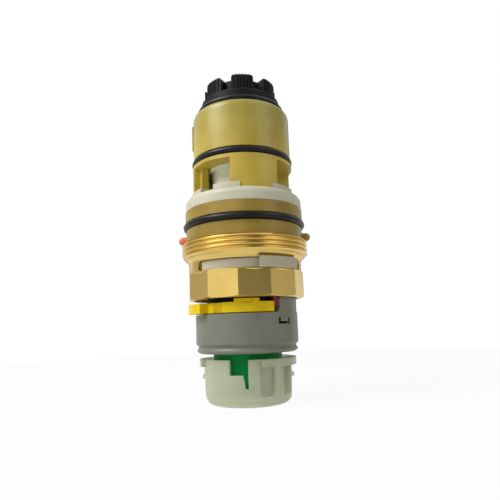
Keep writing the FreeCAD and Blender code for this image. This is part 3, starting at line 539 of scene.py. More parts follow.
clip_groove_r, clip_groove_z0, clip_groove_z1 = clip_groove
groove_r, groove_z0, groove_z1 = seal_groove
lower_housing = turned_body("lower_housing_moulding", [
    (stack_bore_r, housing_foot), (neck_r, housing_foot), (neck_r, clip_groove_z0),
    (clip_groove_r, clip_groove_z0), (clip_groove_r, clip_groove_z1), (neck_r, clip_groove_z1),
    (neck_r, land_z0), (land_r, land_z0), (land_r, groove_z0), (groove_r, groove_z0),
    (groove_r, groove_z1), (upper_land_r, groove_z1), (upper_land_r, seat_z),
    (foot_r, seat_z), (foot_r, foot_z), (shelf_bore_r, foot_z), (shelf_bore_r, shelf_z),
    (stack_bore_r, shelf_z)])
combine(lower_housing, "UNION", locating_peg("cold_peg", 90, land_r - past))
combine(lower_housing, "DIFFERENCE",
        rod_at("peg_hole", peg_r + snug, land_r - peg_depth, land_r + past, peg_z, -90))
rounded(lower_housing, housing_edge)
dark_amber = moulded("dark_amber_resin", tone(164, 138, 58), tone(140, 114, 42),
                     gloss=(0.3, 0.42), cloud_size=90.0, glow=0.15)
fitted(lower_housing, "body", dark_amber, "lower_housing")

hot_peg = rounded(locating_peg("hot_peg_moulding", -90, land_r - peg_depth + snug / 2), 0)
coral = moulded("coral_plastic", tone(236, 132, 104), tone(222, 112, 86), glow=0.2)
fitted(hot_peg, "body", coral, "hot_peg")


# Three rubber rings that seal in the valve body: lower, middle and top. Each is moulded in
# black nitrile rubber, with the thin flash of its mould round the outside, and rolled on.
ring_section_r = 1.2
ring_steps = 180
section_steps = 48
flash_height = 0.03


def rubber_ring(name, mean_r, z, node, material):
    """A rubber ring with its flash line, at a height in millimetres."""
    bpy.ops.object.select_all(action="DESELECT")
    bpy.ops.mesh.primitive_torus_add(
        major_radius=mean_r * MM, minor_radius=ring_section_r * MM,
        major_segments=ring_steps, minor_segments=section_steps, location=(0, 0, z * MM))
    piece = bpy.context.object
    piece.name = name
    bpy.ops.object.transform_apply(location=True)
    bpy.ops.object.mode_set(mode="EDIT")
    rim = (mean_r + ring_section_r) * MM
    pick(lambda v: math.hypot(v.x, v.y) > rim - sliver * MM)
    swell = 1 + flash_height / (mean_r + ring_section_r)
    bpy.ops.transform.resize(value=(swell, swell, 1), center_override=(0, 0, z * MM))
    bpy.ops.object.mode_set(mode="OBJECT")
    rounded(piece, 0)
    fitted(piece, "body", material, node)


rubber = moulded("black_rubber", tone(20, 21, 20), tone(13, 14, 13), gloss=(0.26, 0.4),
                 cloud_size=200.0, grain=0.10, specular=0.22)
rubber_ring("lower_seal", mean_r=20.65, z=60.95, node="oring_lower", material=rubber)
rubber_ring("middle_seal", mean_r=17.24, z=84.6, node="oring_middle", material=rubber)
rubber_ring("top_seal", mean_r=15.0, z=104.45, node="oring_top", material=rubber)


# Port ring: a cream castellated ring round the feet of the columns, moulded in acetal and
# dropped on the lower housing. Its teeth stand before the columns, with a low gap in each.
column_spans = ((-11.4, 42.7), (106.0, 166.4), (225.0, 290.0))
port_ring_r = 20.95
port_wall_z = 68.9
port_top_z = 71.2
port_tooth_z = 73.05
port_shoulder_r = 18.75
port_tooth_r = 18.6
port_bore_r = 15.4
port_gap = (-1.0, 35.2)
port_slit = (-49.6, -30.7)
port_edge = 0.25
port_tooth_edge = 0.14
column_play_deg = 0.3
thirds = (0, 120, 240)
quarter = [math.radians(a) for a in range(0, 91, 10)]

port_ring = turned_body("port_ring_moulding", [
    (port_bore_r, seat_z), (port_ring_r - port_edge, seat_z), (port_ring_r, seat_z + port_edge)]
    + [(port_shoulder_r + (port_ring_r - port_shoulder_r) * math.cos(a),
        port_wall_z + (port_top_z - port_wall_z) * math.sin(a)) for a in quarter]
    + [(port_tooth_r, port_top_z), (port_tooth_r, port_tooth_z), (port_bore_r, port_tooth_z)])
combine(port_ring, "DIFFERENCE", joined([
    wedge("column_notch", port_bore_r - past, foot_r, seat_z - past, port_tooth_z + past,
          az0 - column_play_deg, az1 + column_play_deg) for az0, az1 in column_spans]))
combine(port_ring, "DIFFERENCE", joined([
    wedge("step", port_bore_r - 2 * past, port_ring_r, port_top_z, port_tooth_z + 2 * past,
          az0 + turn, az1 + turn) for az0, az1 in (port_gap, port_slit) for turn in thirds]))
rounded(port_ring, port_tooth_edge)
cream = moulded("cream_acetal", tone(206, 204, 180), tone(194, 192, 166),
                gloss=(0.38, 0.5), glow=0.2)
fitted(port_ring, "body", cream, "port_ring")


# Mixing sleeve: the off-white inner tube behind the windows, moulded, with a lip that sits
# in the web of the upper housing. Mixed water leaves between it and the columns.
sleeve_bore_r = 9.9
sleeve_r = 11.4
sleeve_lip_r = 12.75
sleeve_z0 = 63.2
lip_z0 = 80.78
lip_z1 = 81.98
spigot_r = 10.88
spigot_z = 84.58
fin_slot = (2.04, 10.62, 79.58)
fin_slot_az = 18
sleeve_edge = 0.2

sleeve = turned_body("mixing_sleeve_moulding", [
    (sleeve_bore_r, sleeve_z0), (sleeve_r, sleeve_z0), (sleeve_r, lip_z0), (sleeve_lip_r, lip_z0),
    (sleeve_lip_r, lip_z1), (spigot_r, lip_z1), (spigot_r, spigot_z), (sleeve_bore_r, spigot_z)])
slot_w, slot_r, slot_z = fin_slot
combine(sleeve, "DIFFERENCE", joined([
    box_at("fin_slot", (-slot_w / 2, -slot_r, sleeve_z0 - past),
           (slot_w / 2, -slot_r / 2, slot_z), fin_slot_az + turn) for turn in thirds]))
rounded(sleeve, sleeve_edge)
off_white = moulded("off_white_acetal", tone(232, 233, 210), tone(218, 218, 196),
                    gloss=(0.35, 0.5), glow=0.2)
fitted(sleeve, "body", off_white, "mixing_sleeve")


# Upper housing: the long amber barrel that holds the thermostat, on three columns between
# the water windows. Injection moulded in a clear hard resin; painted shade makes it olive at the
# inner end.
barrel_r = 17.85
nose_r = 16.4
nose_z0 = 100.5
nose_z1 = 103.1
nose_fullness = 0.8    # under 1 the nose is fuller than an ellipse
barrel_foot = 86.0
middle_groove = (16.04, 83.2)
middle_flange_r = 18.2
column_top = 82.0
column_bore_r = 13.5
column_rib = (16.1, 284, 298)
column_lap = 0.6
chamber = (14.2, 86.0, 100.6)
upper_bore_r = 11.9
barrel_edge = 0.18
top_neck_r = 13.8
retainer_z0 = 105.8
inlet_low = (-26.8, 1.0, 92.9)
inlet_high = (-8.9, 8.5, 99.9)
inlet_frame = (18.55, 91.7, 101.1, -122.92, -89.36)

chamber_r, chamber_z0, chamber_z1 = chamber
groove_r, groove_z0 = middle_groove
barrel = turned_body("upper_housing_moulding", [
    (upper_bore_r, retainer_z0), (upper_bore_r, chamber_z1), (chamber_r, chamber_z1),
    (chamber_r, chamber_z0), (spigot_r + snug, chamber_z0), (spigot_r + snug, column_top),
    (middle_flange_r, column_top), (middle_flange_r, groove_z0), (groove_r, groove_z0),
    (groove_r, barrel_foot), (barrel_r, barrel_foot)]
    + [(nose_r + (barrel_r - nose_r) * math.cos(a) ** nose_fullness,
        nose_z0 + (nose_z1 - nose_z0) * math.sin(a)) for a in quarter[:-1]]
    + [(nose_r, nose_z1), (top_neck_r, nose_z1), (top_neck_r, retainer_z0)])
combine(barrel, "UNION", joined([
    wedge("column", column_bore_r, middle_flange_r - snug / 2, foot_z, column_top + column_lap,
          az0, az1) for az0, az1 in column_spans]))
rib_r, rib_az0, rib_az1 = column_rib
combine(barrel, "UNION", wedge("column_rib", column_bore_r + snug, rib_r, foot_z + snug,
                               column_top + column_lap + near, rib_az0, rib_az1))
frame_r, frame_z0, frame_z1, frame_az0, frame_az1 = inlet_frame
combine(barrel, "UNION", wedge("inlet_frame", chamber_r + past, frame_r, frame_z0, frame_z1,
                               frame_az0, frame_az1))
combine(barrel, "DIFFERENCE", box_at("inlet", inlet_low, inlet_high))
rounded(barrel, barrel_edge)
# Painted shade: the rise tints make the barrel darker and more olive towards its inner end, where
# the dark parts inside show through.
amber = moulded("amber_resin", tone(204, 182, 86), tone(184, 160, 66), gloss=(0.26, 0.4),
                cloud_size=70.0, glow=0.25,
                rise=(80, 104, tone(255, 252, 228), tone(214, 226, 236)))
fitted(barrel, "body", amber, "upper_housing")


# End retainer: the black castellated ring that closes the inner end and holds the return
# spring. Glass-filled nylon, pressed on the barrel; toothed lugs for the tool that fits it.
retainer_seat_z = 104.85
retainer_flange_r = 14.6
retainer_rim = 0.6
lug_foot_z = 108.8
lug_tip_z = 114.5
lug_r = 13.4
lug_bore_r = 9.0
collar = (10.2, 114.0)
lug_count = 7
lug_deg = 34.4
lug_az = 6.0
lug_teeth = 7
lug_corner = 1.2
tooth_gap = 0.5
tooth_depth = 0.4
tooth_foot = 0.45
inlet_slot = (10.63, 12.8)
retainer_web = 1.25
collar_play = 0.08
collar_sink = 0.55
retainer_edge = 0.14
lug_edge = 0.1


def copies(piece, azimuths):
    """Copies of a piece turned to each azimuth, each with its own mesh. The piece is used up."""
    made = []
    for azimuth in azimuths:
        twin = piece.copy()
        twin.data = piece.data.copy()
        bpy.context.scene.collection.objects.link(twin)
        alone(twin)
        twin.rotation_euler = (0, 0, math.radians(azimuth))
        bpy.ops.object.transform_apply(rotation=True)
        made.append(twin)
    bpy.data.objects.remove(piece)
    return made


def bevelled(piece, width, segments, test):
    """Rounds the edges of a piece whose both ends pass a test."""
    alone(piece)
    bpy.ops.object.mode_set(mode="EDIT")
    pick(test)
    bpy.ops.mesh.select_mode(type="EDGE")
    bpy.ops.mesh.bevel(offset=width * MM, segments=segments)
    bpy.ops.object.mode_set(mode="OBJECT")


lug = wedge("lug", lug_bore_r + 1.5 * snug, lug_r, lug_foot_z - past, lug_tip_z, -lug_deg / 2,
            lug_deg / 2, 4)
for side in (-1, 1):
    bevelled(lug, lug_corner, 6, lambda v: v.z > (lug_tip_z - near) * MM
             and abs(azimuth_of(v) - side * lug_deg / 2) < near)
tooth_azimuths = [lug_deg * (i / lug_teeth - 0.5) for i in range(1, lug_teeth)]
combine(lug, "DIFFERENCE", joined([
    box_at("tooth_gap", (-tooth_gap / 2, -lug_r - past, lug_foot_z + tooth_foot),
           (tooth_gap / 2, -lug_r + tooth_depth, lug_tip_z + past), azimuth)
    for azimuth in tooth_azimuths]))
rounded(lug, lug_edge)

slot_r0, slot_r1 = inlet_slot
retainer = turned_body("end_retainer_moulding", [
    (0, retainer_z0), (slot_r0 - retainer_web, retainer_z0),
    (slot_r0 - retainer_web, retainer_seat_z), (upper_bore_r - snug, retainer_seat_z),
    (upper_bore_r - snug, retainer_z0),
    (retainer_flange_r, retainer_z0), (retainer_flange_r, lug_foot_z - retainer_rim),
    (retainer_flange_r - retainer_rim, lug_foot_z), (slot_r0 - collar_play, lug_foot_z),
    (slot_r0 - collar_play, lug_foot_z - collar_sink), (0, lug_foot_z - collar_sink)])
collar_r, collar_z = collar
combine(retainer, "UNION", turned_body("collar", [
    (lug_bore_r, lug_foot_z - past), (collar_r, lug_foot_z - past), (collar_r, collar_z),
    (lug_bore_r, collar_z)]))
lug_azimuths = [lug_az + 360 / lug_count * i for i in range(lug_count)]
gap_half = (360 / lug_count - lug_deg) / 2
combine(retainer, "DIFFERENCE", joined([
    wedge("inlet_slot", slot_r0, slot_r1, retainer_seat_z - past, lug_foot_z + past,
          azimuth + 180 / lug_count - gap_half, azimuth + 180 / lug_count + gap_half)
    for azimuth in lug_azimuths]))
rounded(retainer, retainer_edge)
combine(retainer, "UNION", joined(copies(lug, lug_azimuths)))
rounded(retainer, 0)
black_nylon = moulded("black_nylon", tone(28, 30, 29), tone(18, 20, 19), gloss=(0.42, 0.58),
                      cloud_size=300.0, grain=0.16, specular=0.12)
fitted(retainer, "body", black_nylon, "end_retainer")


# The thermostat and the disc stack inside: CAD solids, each in its own finish of machined
# brass and steel, copper, fired ceramic or moulded plastic. Only the two springs are merged
# copies, because their ends stand on different bodies.
tool_mark_relief = 0.08
worn_metal, given, result = new_group(
    "worn_metal",
    [("Vector", "NodeSocketVector", None), ("Clean", "NodeSocketColor", (1, 1, 1, 1)),
     ("Grime", "NodeSocketColor", (0.5, 0.5, 0.5, 1)), ("Blotch Size", "NodeSocketFloat", 150.0),
     ("Line Size", "NodeSocketFloat", 3000.0), ("Gloss Low", "NodeSocketFloat", 0.22),
     ("Gloss High", "NodeSocketFloat", 0.4)],
    [("Colour", "NodeSocketColor"), ("Roughness", "NodeSocketFloat"),
     ("Height", "NodeSocketFloat")])
nodes, links = worn_metal.nodes, worn_metal.links
blotch = noise_node(nodes, links, given["Vector"], given["Blotch Size"], 2.0)
flatten = nodes.new("ShaderNodeVectorMath")
flatten.operation = "MULTIPLY"
flatten.inputs[1].default_value = (0.04, 0.04, 1)
links.new(given["Vector"], flatten.inputs[0])
lines = noise_node(nodes, links, flatten.outputs[0], given["Line Size"], 2.0)
worn = sum_node(nodes, links, "ADD", stretched(nodes, links, blotch, 0.35, 0.65, 0.3, 0.9),
                stretched(nodes, links, lines, 0.3, 0.7, -0.2, 0.2))
links.new(mixed(nodes, links, worn, given["Grime"], given["Clean"]), result["Colour"])
links.new(stretched(nodes, links, worn, 0.0, 1.0, given["Gloss High"], given["Gloss Low"]),
          result["Roughness"])
links.new(lines, result["Height"])


def machined(name, clean, grime, gloss, blotch_size=150.0):
    """A turned metal with fine tool lines and dull patches."""
    values = {"Clean": clean, "Grime": grime, "Blotch Size": blotch_size,
              "Gloss Low": gloss[0], "Gloss High": gloss[1]}
    material, shader = skinned(name, worn_metal, values, tool_mark_relief)
    shader.inputs["Metallic"].default_value = 1.0
    return material


def dress(names, material):
    """Puts a material on CAD nodes that stay as they are."""
    for name in names:
        mesh = bpy.data.objects[name].data
        mesh.materials.clear()
        mesh.materials.append(material)


def flexing_spring(name, node, material):
    """A merged copy of a CAD spring, shaded smooth, put in place of it."""
    piece = bpy.data.objects.new(name, bpy.data.objects[node].data.copy())
    bpy.context.scene.collection.objects.link(piece)
    alone(piece)
    bpy.ops.object.mode_set(mode="EDIT")
    tidy_mesh()
    rounded(piece, 0, sharp=50.0)
    piece.data.materials.clear()
    piece.data.materials.append(material)
    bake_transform(piece)
    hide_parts(node)


brass = machined("brass", (0.79, 0.57, 0.17, 1), (0.66, 0.475, 0.14, 1), (0.28, 0.33),
                 blotch_size=115.0)
steel = machined("spring_steel", (0.62, 0.61, 0.58, 1), (0.42, 0.41, 0.39, 1), (0.2, 0.35))
copper = machined("copper", (0.72, 0.36, 0.20, 1), (0.46, 0.22, 0.13, 1), (0.25, 0.4))
ceramic = moulded("fired_ceramic", tone(236, 234, 228), tone(222, 220, 214),
                  gloss=(0.12, 0.22), cloud_size=300.0, grain=0.03, specular=0.5)
white_acetal = moulded("white_acetal", tone(226, 225, 216), tone(212, 211, 202))
dress(["temperature_spindle", "travelling_nut", "overload_cup"], brass)
dress(["thermostat_element"], copper)
dress(["element_piston", "cup_ring", "spindle_clip", "carrier_snap_ring", "seat_ring"], steel)
flexing_spring("overload_coil", "overload_spring",
               steel)
flexing_spring("return_coil", "return_spring", steel)
dress(["fixed_disc", "moving_disc"], ceramic)
dress(["shuttle", "slip_washer"], white_acetal)
dress(["disc_seal", "spindle_oring", "driver_oring", "shuttle_oring"], rubber)
dress(["carrier"], black_nylon)


# Union nut: turned brass with an M45 thread at its inner end, twelve flats at its outer end
# and two long slots in the neck between, through which the clip is sprung in.
nut_z0 = 34.9
flats_z1 = 44.0
neck_z1 = 47.9
nut_z1 = 55.0
nut_bore_r = 18.3
nut_neck_r = 20.0
nut_corner_r = 20.5
corner_cut = (0.9, 0.52)
first_corner_az = -5.0
thread_r = 22.4
thread_root_r = 21.5
thread_pitch = 1.5
thread_phase_z = 48.45
ridge_root_w = 1.36
ridge_crest_w = 0.3
ridge_crest_round = 0.09
ridge_turns = 6
ridge_steps = 96
ridge_sunk = 0.25      # how deep the ridge stands in the core, so that they join
run_out = (1.4, 0.88)
thread_lead = 0.6
nut_end_edge = 0.3
neck_fillet = (0.5, 0.2)
slot_z0 = 44.1
slot_z1 = 47.5
slot_azimuths = (10, 190)
slot_half_deg = 55.2
slot_end_r = 1.66
slot_end_deg = 0.12
slot_end_past = 1.2
nut_edge = 0.15


def helical_ridge(name, root_r, crest_r, z, rise):
    """A closed ridge: a trapezoid with rounded crest corners, carried up a helix."""
    bpy.ops.object.select_all(action="DESELECT")
    bpy.ops.mesh.primitive_plane_add(size=1, rotation=(math.radians(90), 0, math.radians(90)),
                                     location=(0, -(root_r + crest_r) / 2 * MM, z * MM))
    ridge = bpy.context.object
    ridge.name = name
    ridge.scale = ((crest_r - root_r) * MM, ridge_root_w * MM, 1)
    bpy.ops.object.transform_apply(location=True, rotation=True, scale=True)
    bpy.ops.object.mode_set(mode="EDIT")
    pick(lambda v: v.y < -(crest_r - near) * MM)
    bpy.ops.transform.resize(value=(1, 1, ridge_crest_w / ridge_root_w),
                             center_override=(0, 0, z * MM))
    bpy.ops.mesh.bevel(offset=ridge_crest_round * MM, segments=2, affect="VERTICES")
    bpy.ops.mesh.select_all(action="SELECT")
    bpy.ops.mesh.delete(type="ONLY_FACE")
    bpy.ops.object.mode_set(mode="OBJECT")
    sweep = ridge.modifiers.new("helix", "SCREW")
    sweep.screw_offset = rise * MM
    sweep.iterations = ridge_turns
    sweep.steps = sweep.render_steps = ridge_steps
    bpy.ops.object.modifier_apply(modifier=sweep.name)
    bpy.ops.object.mode_set(mode="EDIT")
    bpy.ops.mesh.select_all(action="SELECT")
    bpy.ops.mesh.fill_holes(sides=0)
    tidy_mesh()
    return ridge


cut_in, cut_up = corner_cut
fillet_in, fillet_up = neck_fillet
nut = turned_body("brass_nut_turning", [
    (0, nut_z0), (nut_corner_r, nut_z0), (nut_corner_r, flats_z1), (0, flats_z1)], 12,
    first_corner_az)
combine(nut, "INTERSECT", turned_body("flats_envelope", [
    (0, nut_z0), (nut_corner_r - cut_in, nut_z0), (nut_corner_r, nut_z0 + cut_up),
    (nut_corner_r, flats_z1 - cut_up / 3), (nut_corner_r - cut_in / 3, flats_z1), (0, flats_z1)]))
combine(nut, "UNION", turned_body("thread_core", [
    (0, flats_z1 - past), (nut_neck_r - fillet_in, flats_z1 - past),
    (nut_neck_r, flats_z1 - fillet_up), (nut_neck_r, neck_z1),
    (thread_root_r, neck_z1 + thread_root_r - nut_neck_r), (thread_root_r, nut_z1 - nut_end_edge),
    (thread_root_r - nut_end_edge, nut_z1), (0, nut_z1)]))
combine(nut, "DIFFERENCE", turned_body("nut_bore", [
    (0, nut_z0 - past), (nut_bore_r, nut_z0 - past), (nut_bore_r, nut_z1 + past),
    (0, nut_z1 + past)]))
combine(nut, "DIFFERENCE",
        joined([wedge("slot", nut_bore_r - past, thread_r + past, slot_z0, slot_z1,
                      azimuth - slot_half_deg, azimuth + slot_half_deg)
                for azimuth in slot_azimuths]),
        joined([rod_at("slot_end", slot_end_r, nut_bore_r - slot_end_past,
                       thread_r + slot_end_past, (slot_z0 + slot_z1) / 2,
                       azimuth + side * (slot_half_deg + slot_end_deg))
                for azimuth in slot_azimuths for side in (-1, 1)]))
rounded(nut, nut_edge)
ridge = helical_ridge("thread", thread_root_r - ridge_sunk, thread_r,
                      thread_phase_z - thread_pitch, thread_pitch)
step_z = neck_z1 + (thread_r - nut_neck_r)
combine(ridge, "INTERSECT", turned_body("thread_envelope", [
    (thread_root_r - 2 * ridge_sunk, step_z - run_out[0]),
    (thread_root_r + snug, step_z - run_out[1]), (thread_r + near, step_z + near),
    (thread_r + near, nut_z1 - thread_lead), (thread_root_r, nut_z1 + thread_lead / 2),
    (thread_root_r - 2 * ridge_sunk, nut_z1)]))
nut = joined([nut, ridge])
rounded(nut, 0, sharp=28)
fitted(nut, "union_nut", brass, "brass_nut")


# Nut clip: a split ring of off-white nylon in the groove of the lower housing. Its steps
# fill the slots of the nut and keep it on, and a raised tab shows where to prise it out.
clip_z0 = 44.3
clip_z1 = 47.3
clip_bore_r = 16.9
clip_r = 18.28
clip_step_r = 19.3
clip_step_half = 56.2
clip_tab = (21.1, 44.15, 47.75, 15, 58)
clip_gap = (92, 108)
clip_edge = 0.12
hair = 0.001           # keeps the faces of joined bodies out of one plane

clip = wedge("nut_clip_moulding", clip_bore_r, clip_r, clip_z0, clip_z1, clip_gap[1],
             clip_gap[0] + 360)
combine(clip, "UNION", joined([
    wedge("step", nut_bore_r - past, clip_step_r, clip_z0 + hair, clip_z1 - hair,
          azimuth - clip_step_half, azimuth + clip_step_half) for azimuth in slot_azimuths]))
tab_r, tab_z0, tab_z1, tab_az0, tab_az1 = clip_tab
combine(clip, "UNION",
        wedge("stem", clip_step_r - past, tab_r - past / 2, clip_z0 + 2 * hair,
              clip_z1 - 2 * hair, tab_az0 + near, tab_az1 - near),
        wedge("tab", nut_neck_r + near, tab_r, tab_z0, tab_z1, tab_az0, tab_az1))
rounded(clip, clip_edge)
nylon = moulded("natural_nylon", tone(196, 189, 166), tone(178, 170, 146),
                gloss=(0.36, 0.5), glow=0.2)
fitted(clip, "union_nut", nylon, "nut_clip")


# Stop rings: the yellow one limits the temperature, with a thick lug at the left and a tab
# that carries a moulded U. The dark red one limits the flow. Both are pushed on the carrier.
stop_bore_r = 13.87
stop_hoop_r = 14.92
stop_band_r = 17.3
stop_lug_r = 20.3
stop_z0 = 30.2
stop_z1 = 33.5
stop_lug_az = (-81, -47)
stop_band_az1 = 33
stop_edge = 0.12
stop_tab = (15.62, 34.6, -11.5, 16)
waist = (2.6, 19.0, -31)
tab_mark = (0.45, 33.18, 34.22, 0.35, -3.5, 8.5, 1.5)

stop_ring = turned_body("yellow_stop_ring_moulding", [
    (stop_bore_r, stop_z0), (stop_hoop_r, stop_z0), (stop_hoop_r, stop_z1),
    (stop_bore_r, stop_z1)])
tab_bore_r, tab_top, tab_az0, tab_az1 = stop_tab
lug_az0, lug_az1 = stop_lug_az
combine(
    stop_ring, "UNION",
    wedge("band", stop_hoop_r - past / 2, stop_band_r, stop_z0, stop_z1, lug_az0, stop_band_az1),
    wedge("lug", stop_band_r - past, stop_lug_r, stop_z0, stop_z1, lug_az0, lug_az1),
    wedge("tab", tab_bore_r, stop_band_r, stop_z1 - past, tab_top, tab_az0, tab_az1))
waist_r, waist_at, waist_az = waist
scoop = turned_body("waist", [
    (0, stop_z0 - past), (waist_r, stop_z0 - past), (waist_r, stop_z1 + past),
    (0, stop_z1 + past)], 64)
turn = math.radians(waist_az)
scoop.location = (waist_at * MM * math.sin(turn), -waist_at * MM * math.cos(turn), 0)
bpy.ops.object.transform_apply(location=True)
depth, mark_z0, mark_z1, line, mark_az0, mark_az1, line_deg = tab_mark
mark = wedge("mark", stop_band_r - depth, stop_band_r + past, mark_z0, mark_z1, mark_az0,
             mark_az1)
combine(mark, "DIFFERENCE", wedge(
    "mark_tongue", stop_band_r - past, stop_band_r + 2 * past, mark_z0 + line, mark_z1 + past,
    mark_az0 + line_deg, mark_az1 - line_deg))
combine(stop_ring, "DIFFERENCE", scoop, mark)
rounded(stop_ring, stop_edge)
yellow = moulded("yellow_plastic", tone(240, 208, 4), tone(226, 192, 2), gloss=(0.34, 0.46),
                 cloud_size=150.0, specular=0.2, glow=0.1)
fitted(stop_ring, "body", yellow, "yellow_stop_ring")
dark_red = moulded("dark_red_plastic", tone(150, 44, 38), tone(128, 34, 30))
dress(["red_stop_ring"], dark_red)


# Flow hub: the grey sleeve that the flow handle snaps on. Moulded, with a tall arm that runs
# between the two stops, a latch tongue in its wall, and a bead and a groove at its foot.
hub_z0 = 17.0
hub_z1 = 29.9
hub_r = 17.8
hub_bore_r = 16.2
hub_foot_r = 16.5
hub_bead_r = 17.45
hub_groove_r = 17.0
hub_web_z = 28.6
hub_boss = (9.8, 12.0, 26.4)
hub_foot_rise = (0.35, 0.65, 1.15, 1.8, 2.4, 3.1)
hub_bead_edge = 0.3
hub_edge = 0.14
arm_r = (15.3, 17.6)
arm_az = (40, 185)
arm_top = 35.0
arm_foot_r = 2.0
arm_corner = 0.8
latch = (37, 55, 26.2, 28.3, 0.75)
latch_side_share = 1.4    # its upright slits are wider

bore_r, boss_r, boss_z = hub_boss
foot_radii = (hub_bead_r - hub_bead_edge, hub_bead_r, hub_bead_r, hub_groove_r, hub_groove_r,
              hub_r)
hub = turned_body("flow_hub_moulding", [(hub_bore_r, hub_z0), (hub_foot_r, hub_z0)]
    + [(r, hub_z0 + rise) for r, rise in zip(foot_radii, hub_foot_rise)]
    + [(hub_r, hub_z1), (bore_r, hub_z1), (bore_r, boss_z), (boss_r, boss_z),
       (boss_r, hub_web_z), (hub_bore_r, hub_web_z)])
arm_r0, arm_r1 = arm_r
arm_az0, arm_az1 = arm_az
arm = wedge("arm", arm_r0, arm_r1, hub_z1 - past, arm_top, arm_az0, arm_az1, 40)
for azimuth in arm_az:
    bevelled(arm, arm_corner, 5, lambda v: v.z > (arm_top - near) * MM
             and abs(azimuth_of(v) % 360 - azimuth) < near)
foot_deg = math.degrees(arm_foot_r / hub_r)
foot = wedge("arm_foot", arm_r0, arm_r1, hub_z1 - past, hub_z1 + arm_foot_r,
             arm_az0 - foot_deg, arm_az0 + foot_deg)
combine(foot, "DIFFERENCE", rod_at("foot_hollow", arm_foot_r, arm_r0 - 2 * past,
                                   arm_r1 + 2 * past, hub_z1 + arm_foot_r, arm_az0 - foot_deg))
combine(hub, "UNION", arm, foot)
latch_az0, latch_az1, latch_z0, latch_z1, slit = latch
window = wedge("latch", hub_bore_r - past, hub_r + past, latch_z0, latch_z1, latch_az0,
               latch_az1)
slit_deg = latch_side_share * math.degrees(slit / hub_r)
combine(window, "DIFFERENCE", wedge(
    "tongue", hub_bore_r - 2 * past, hub_r + 2 * past, latch_z0 + slit, latch_z1 + past,
    latch_az0 + slit_deg, latch_az1 - slit_deg))
combine(hub, "DIFFERENCE", window)
rounded(hub, hub_edge)
grey = moulded("grey_plastic", tone(128, 129, 116), tone(114, 115, 102), gloss=(0.36, 0.5),
               cloud_size=100.0, grain=0.08)
fitted(hub, "flow_control", grey, "flow_hub")
dress(["flow_driver"], grey)


# Temperature hub: the green tube with its shallow key that sits on the spindle. It is the
# CAD solid in a dyed acetal.
green = moulded("green_acetal", tone(0, 158, 70), tone(0, 134, 56), gloss=(0.34, 0.46),
                cloud_size=150.0, specular=0.1)
dress(["temperature_hub"], green)


# Handle adapter: a milky cup pushed over the green hub, which carries the temperature handle.
# Moulded in natural polypropylene, with flutes in its wall, a part flange, a stepped notch
# and two snap nubs.
adapter_low_r = 14.75
adapter_top_r = 15.3
adapter_h = 15.1
adapter_corner = 3.0
adapter_wall = 1.1
adapter_edge = 0.2
adapter_flange = (16.7, 12.7, 18, 293)
flute_azimuths = (27, 61, 119, 153, 195, 229)
flute = (13.4, 3.4, 12.6, 11.0)
flute_foot_r = 1.8
flute_back = (11.92, 12.5)
adapter_notch = (-22, 1.6, 10.3)
adapter_slit = (-1.9, 1.55, 6.1)
notch_r = 12.4
slit_lean = -2.2
nub = (15.7, 8.5, 9.8, 5.0)

corner_r = adapter_low_r - adapter_corner
adapter = turned_body("handle_adapter_moulding", [(0, 0)]
    + [(corner_r + adapter_corner * math.sin(a), adapter_corner * (1 - math.cos(a)))
       for a in quarter]
    + [(adapter_top_r, adapter_h), (adapter_top_r, adapter_h + past), (0, adapter_h + past)])
flange_r, flange_z0, flange_az0, flange_az1 = adapter_flange
nub_r, nub_z0, nub_z1, nub_half = nub
combine(adapter, "UNION",
        wedge("flange", adapter_top_r - 3 * past, flange_r, flange_z0, adapter_h + 2 * past,
              flange_az0, flange_az1),
        joined([wedge("nub", adapter_low_r - 2 * past, nub_r, nub_z0, nub_z1,
                      azimuth - nub_half, azimuth + nub_half) for azimuth in (-90, 90)]))
flute_r, flute_z0, flute_z1, flute_half = flute
flute_cut = wedge("flute", flute_r, adapter_top_r + past, flute_z0, flute_z1, -flute_half,
                  flute_half, 2)
for side in (-1, 1):
    bevelled(flute_cut, flute_foot_r, 6, lambda v: v.z < (flute_z0 + near) * MM
             and abs(azimuth_of(v) - side * flute_half) < near)
combine(adapter, "DIFFERENCE", joined(copies(flute_cut, flute_azimuths)))
inner_corner = adapter_corner - adapter_wall
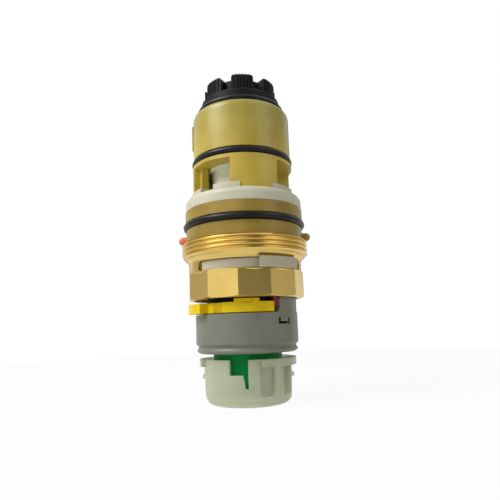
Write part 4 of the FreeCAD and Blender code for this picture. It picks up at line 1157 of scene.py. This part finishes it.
hollow = turned_body("hollow", [(0, adapter_wall)]
    + [(corner_r + inner_corner * math.sin(a), adapter_corner - inner_corner * math.cos(a))
       for a in quarter]
    + [(adapter_top_r - adapter_wall, adapter_h),
       (adapter_top_r - adapter_wall, adapter_h + 3 * past), (0, adapter_h + 3 * past)])
back_r, back_half = flute_back
combine(hollow, "DIFFERENCE", joined([
    wedge("flute_back", back_r, adapter_low_r + past, near, flute_z1 + adapter_wall,
          azimuth - back_half, azimuth + back_half) for azimuth in flute_azimuths]))
combine(adapter, "DIFFERENCE", hollow)
az0, az1, floor_z = adapter_notch
combine(adapter, "DIFFERENCE",
        wedge("notch", notch_r, flange_r + past, floor_z, adapter_h + 4 * past, az0, az1))
az0, az1, floor_z = adapter_slit
slit = wedge("slit", notch_r, flange_r + past, floor_z, adapter_h + 3 * past, az0, az1)
bpy.ops.object.mode_set(mode="EDIT")
pick(lambda v: v.z > (floor_z + near) * MM and abs(azimuth_of(v) - az0) < near)
bpy.ops.transform.translate(value=(slit_lean * MM, 0, 0))
bpy.ops.object.mode_set(mode="OBJECT")
combine(adapter, "DIFFERENCE", slit)
alone(adapter)
bpy.ops.object.mode_set(mode="EDIT")
bpy.ops.mesh.select_all(action="SELECT")
bpy.ops.mesh.bisect(plane_co=(0, 0, adapter_h * MM), plane_no=(0, 0, 1), use_fill=True,
                    clear_outer=True, threshold=0.001 * MM)
bpy.ops.object.mode_set(mode="OBJECT")
rounded(adapter, adapter_edge, segments=3, even_flats=False)
milky = moulded("natural_polypropylene", tone(240, 242, 216), tone(228, 232, 204),
                gloss=(0.34, 0.44), cloud_size=100.0, grain=0.05, specular=0.5)
milky_shader = milky.node_tree.nodes["Principled BSDF"]
milky_shader.inputs["Transmission Weight"].default_value = 0.6
milky_shader.inputs["IOR"].default_value = 1.49
milky_shader.inputs["Subsurface Weight"].default_value = 0.3
milky_shader.inputs["Subsurface Radius"].default_value = (1.0, 0.9, 0.7)
milky_shader.inputs["Subsurface Scale"].default_value = 2 * MM
fitted(adapter, "temperature_control", milky, "handle_adapter")
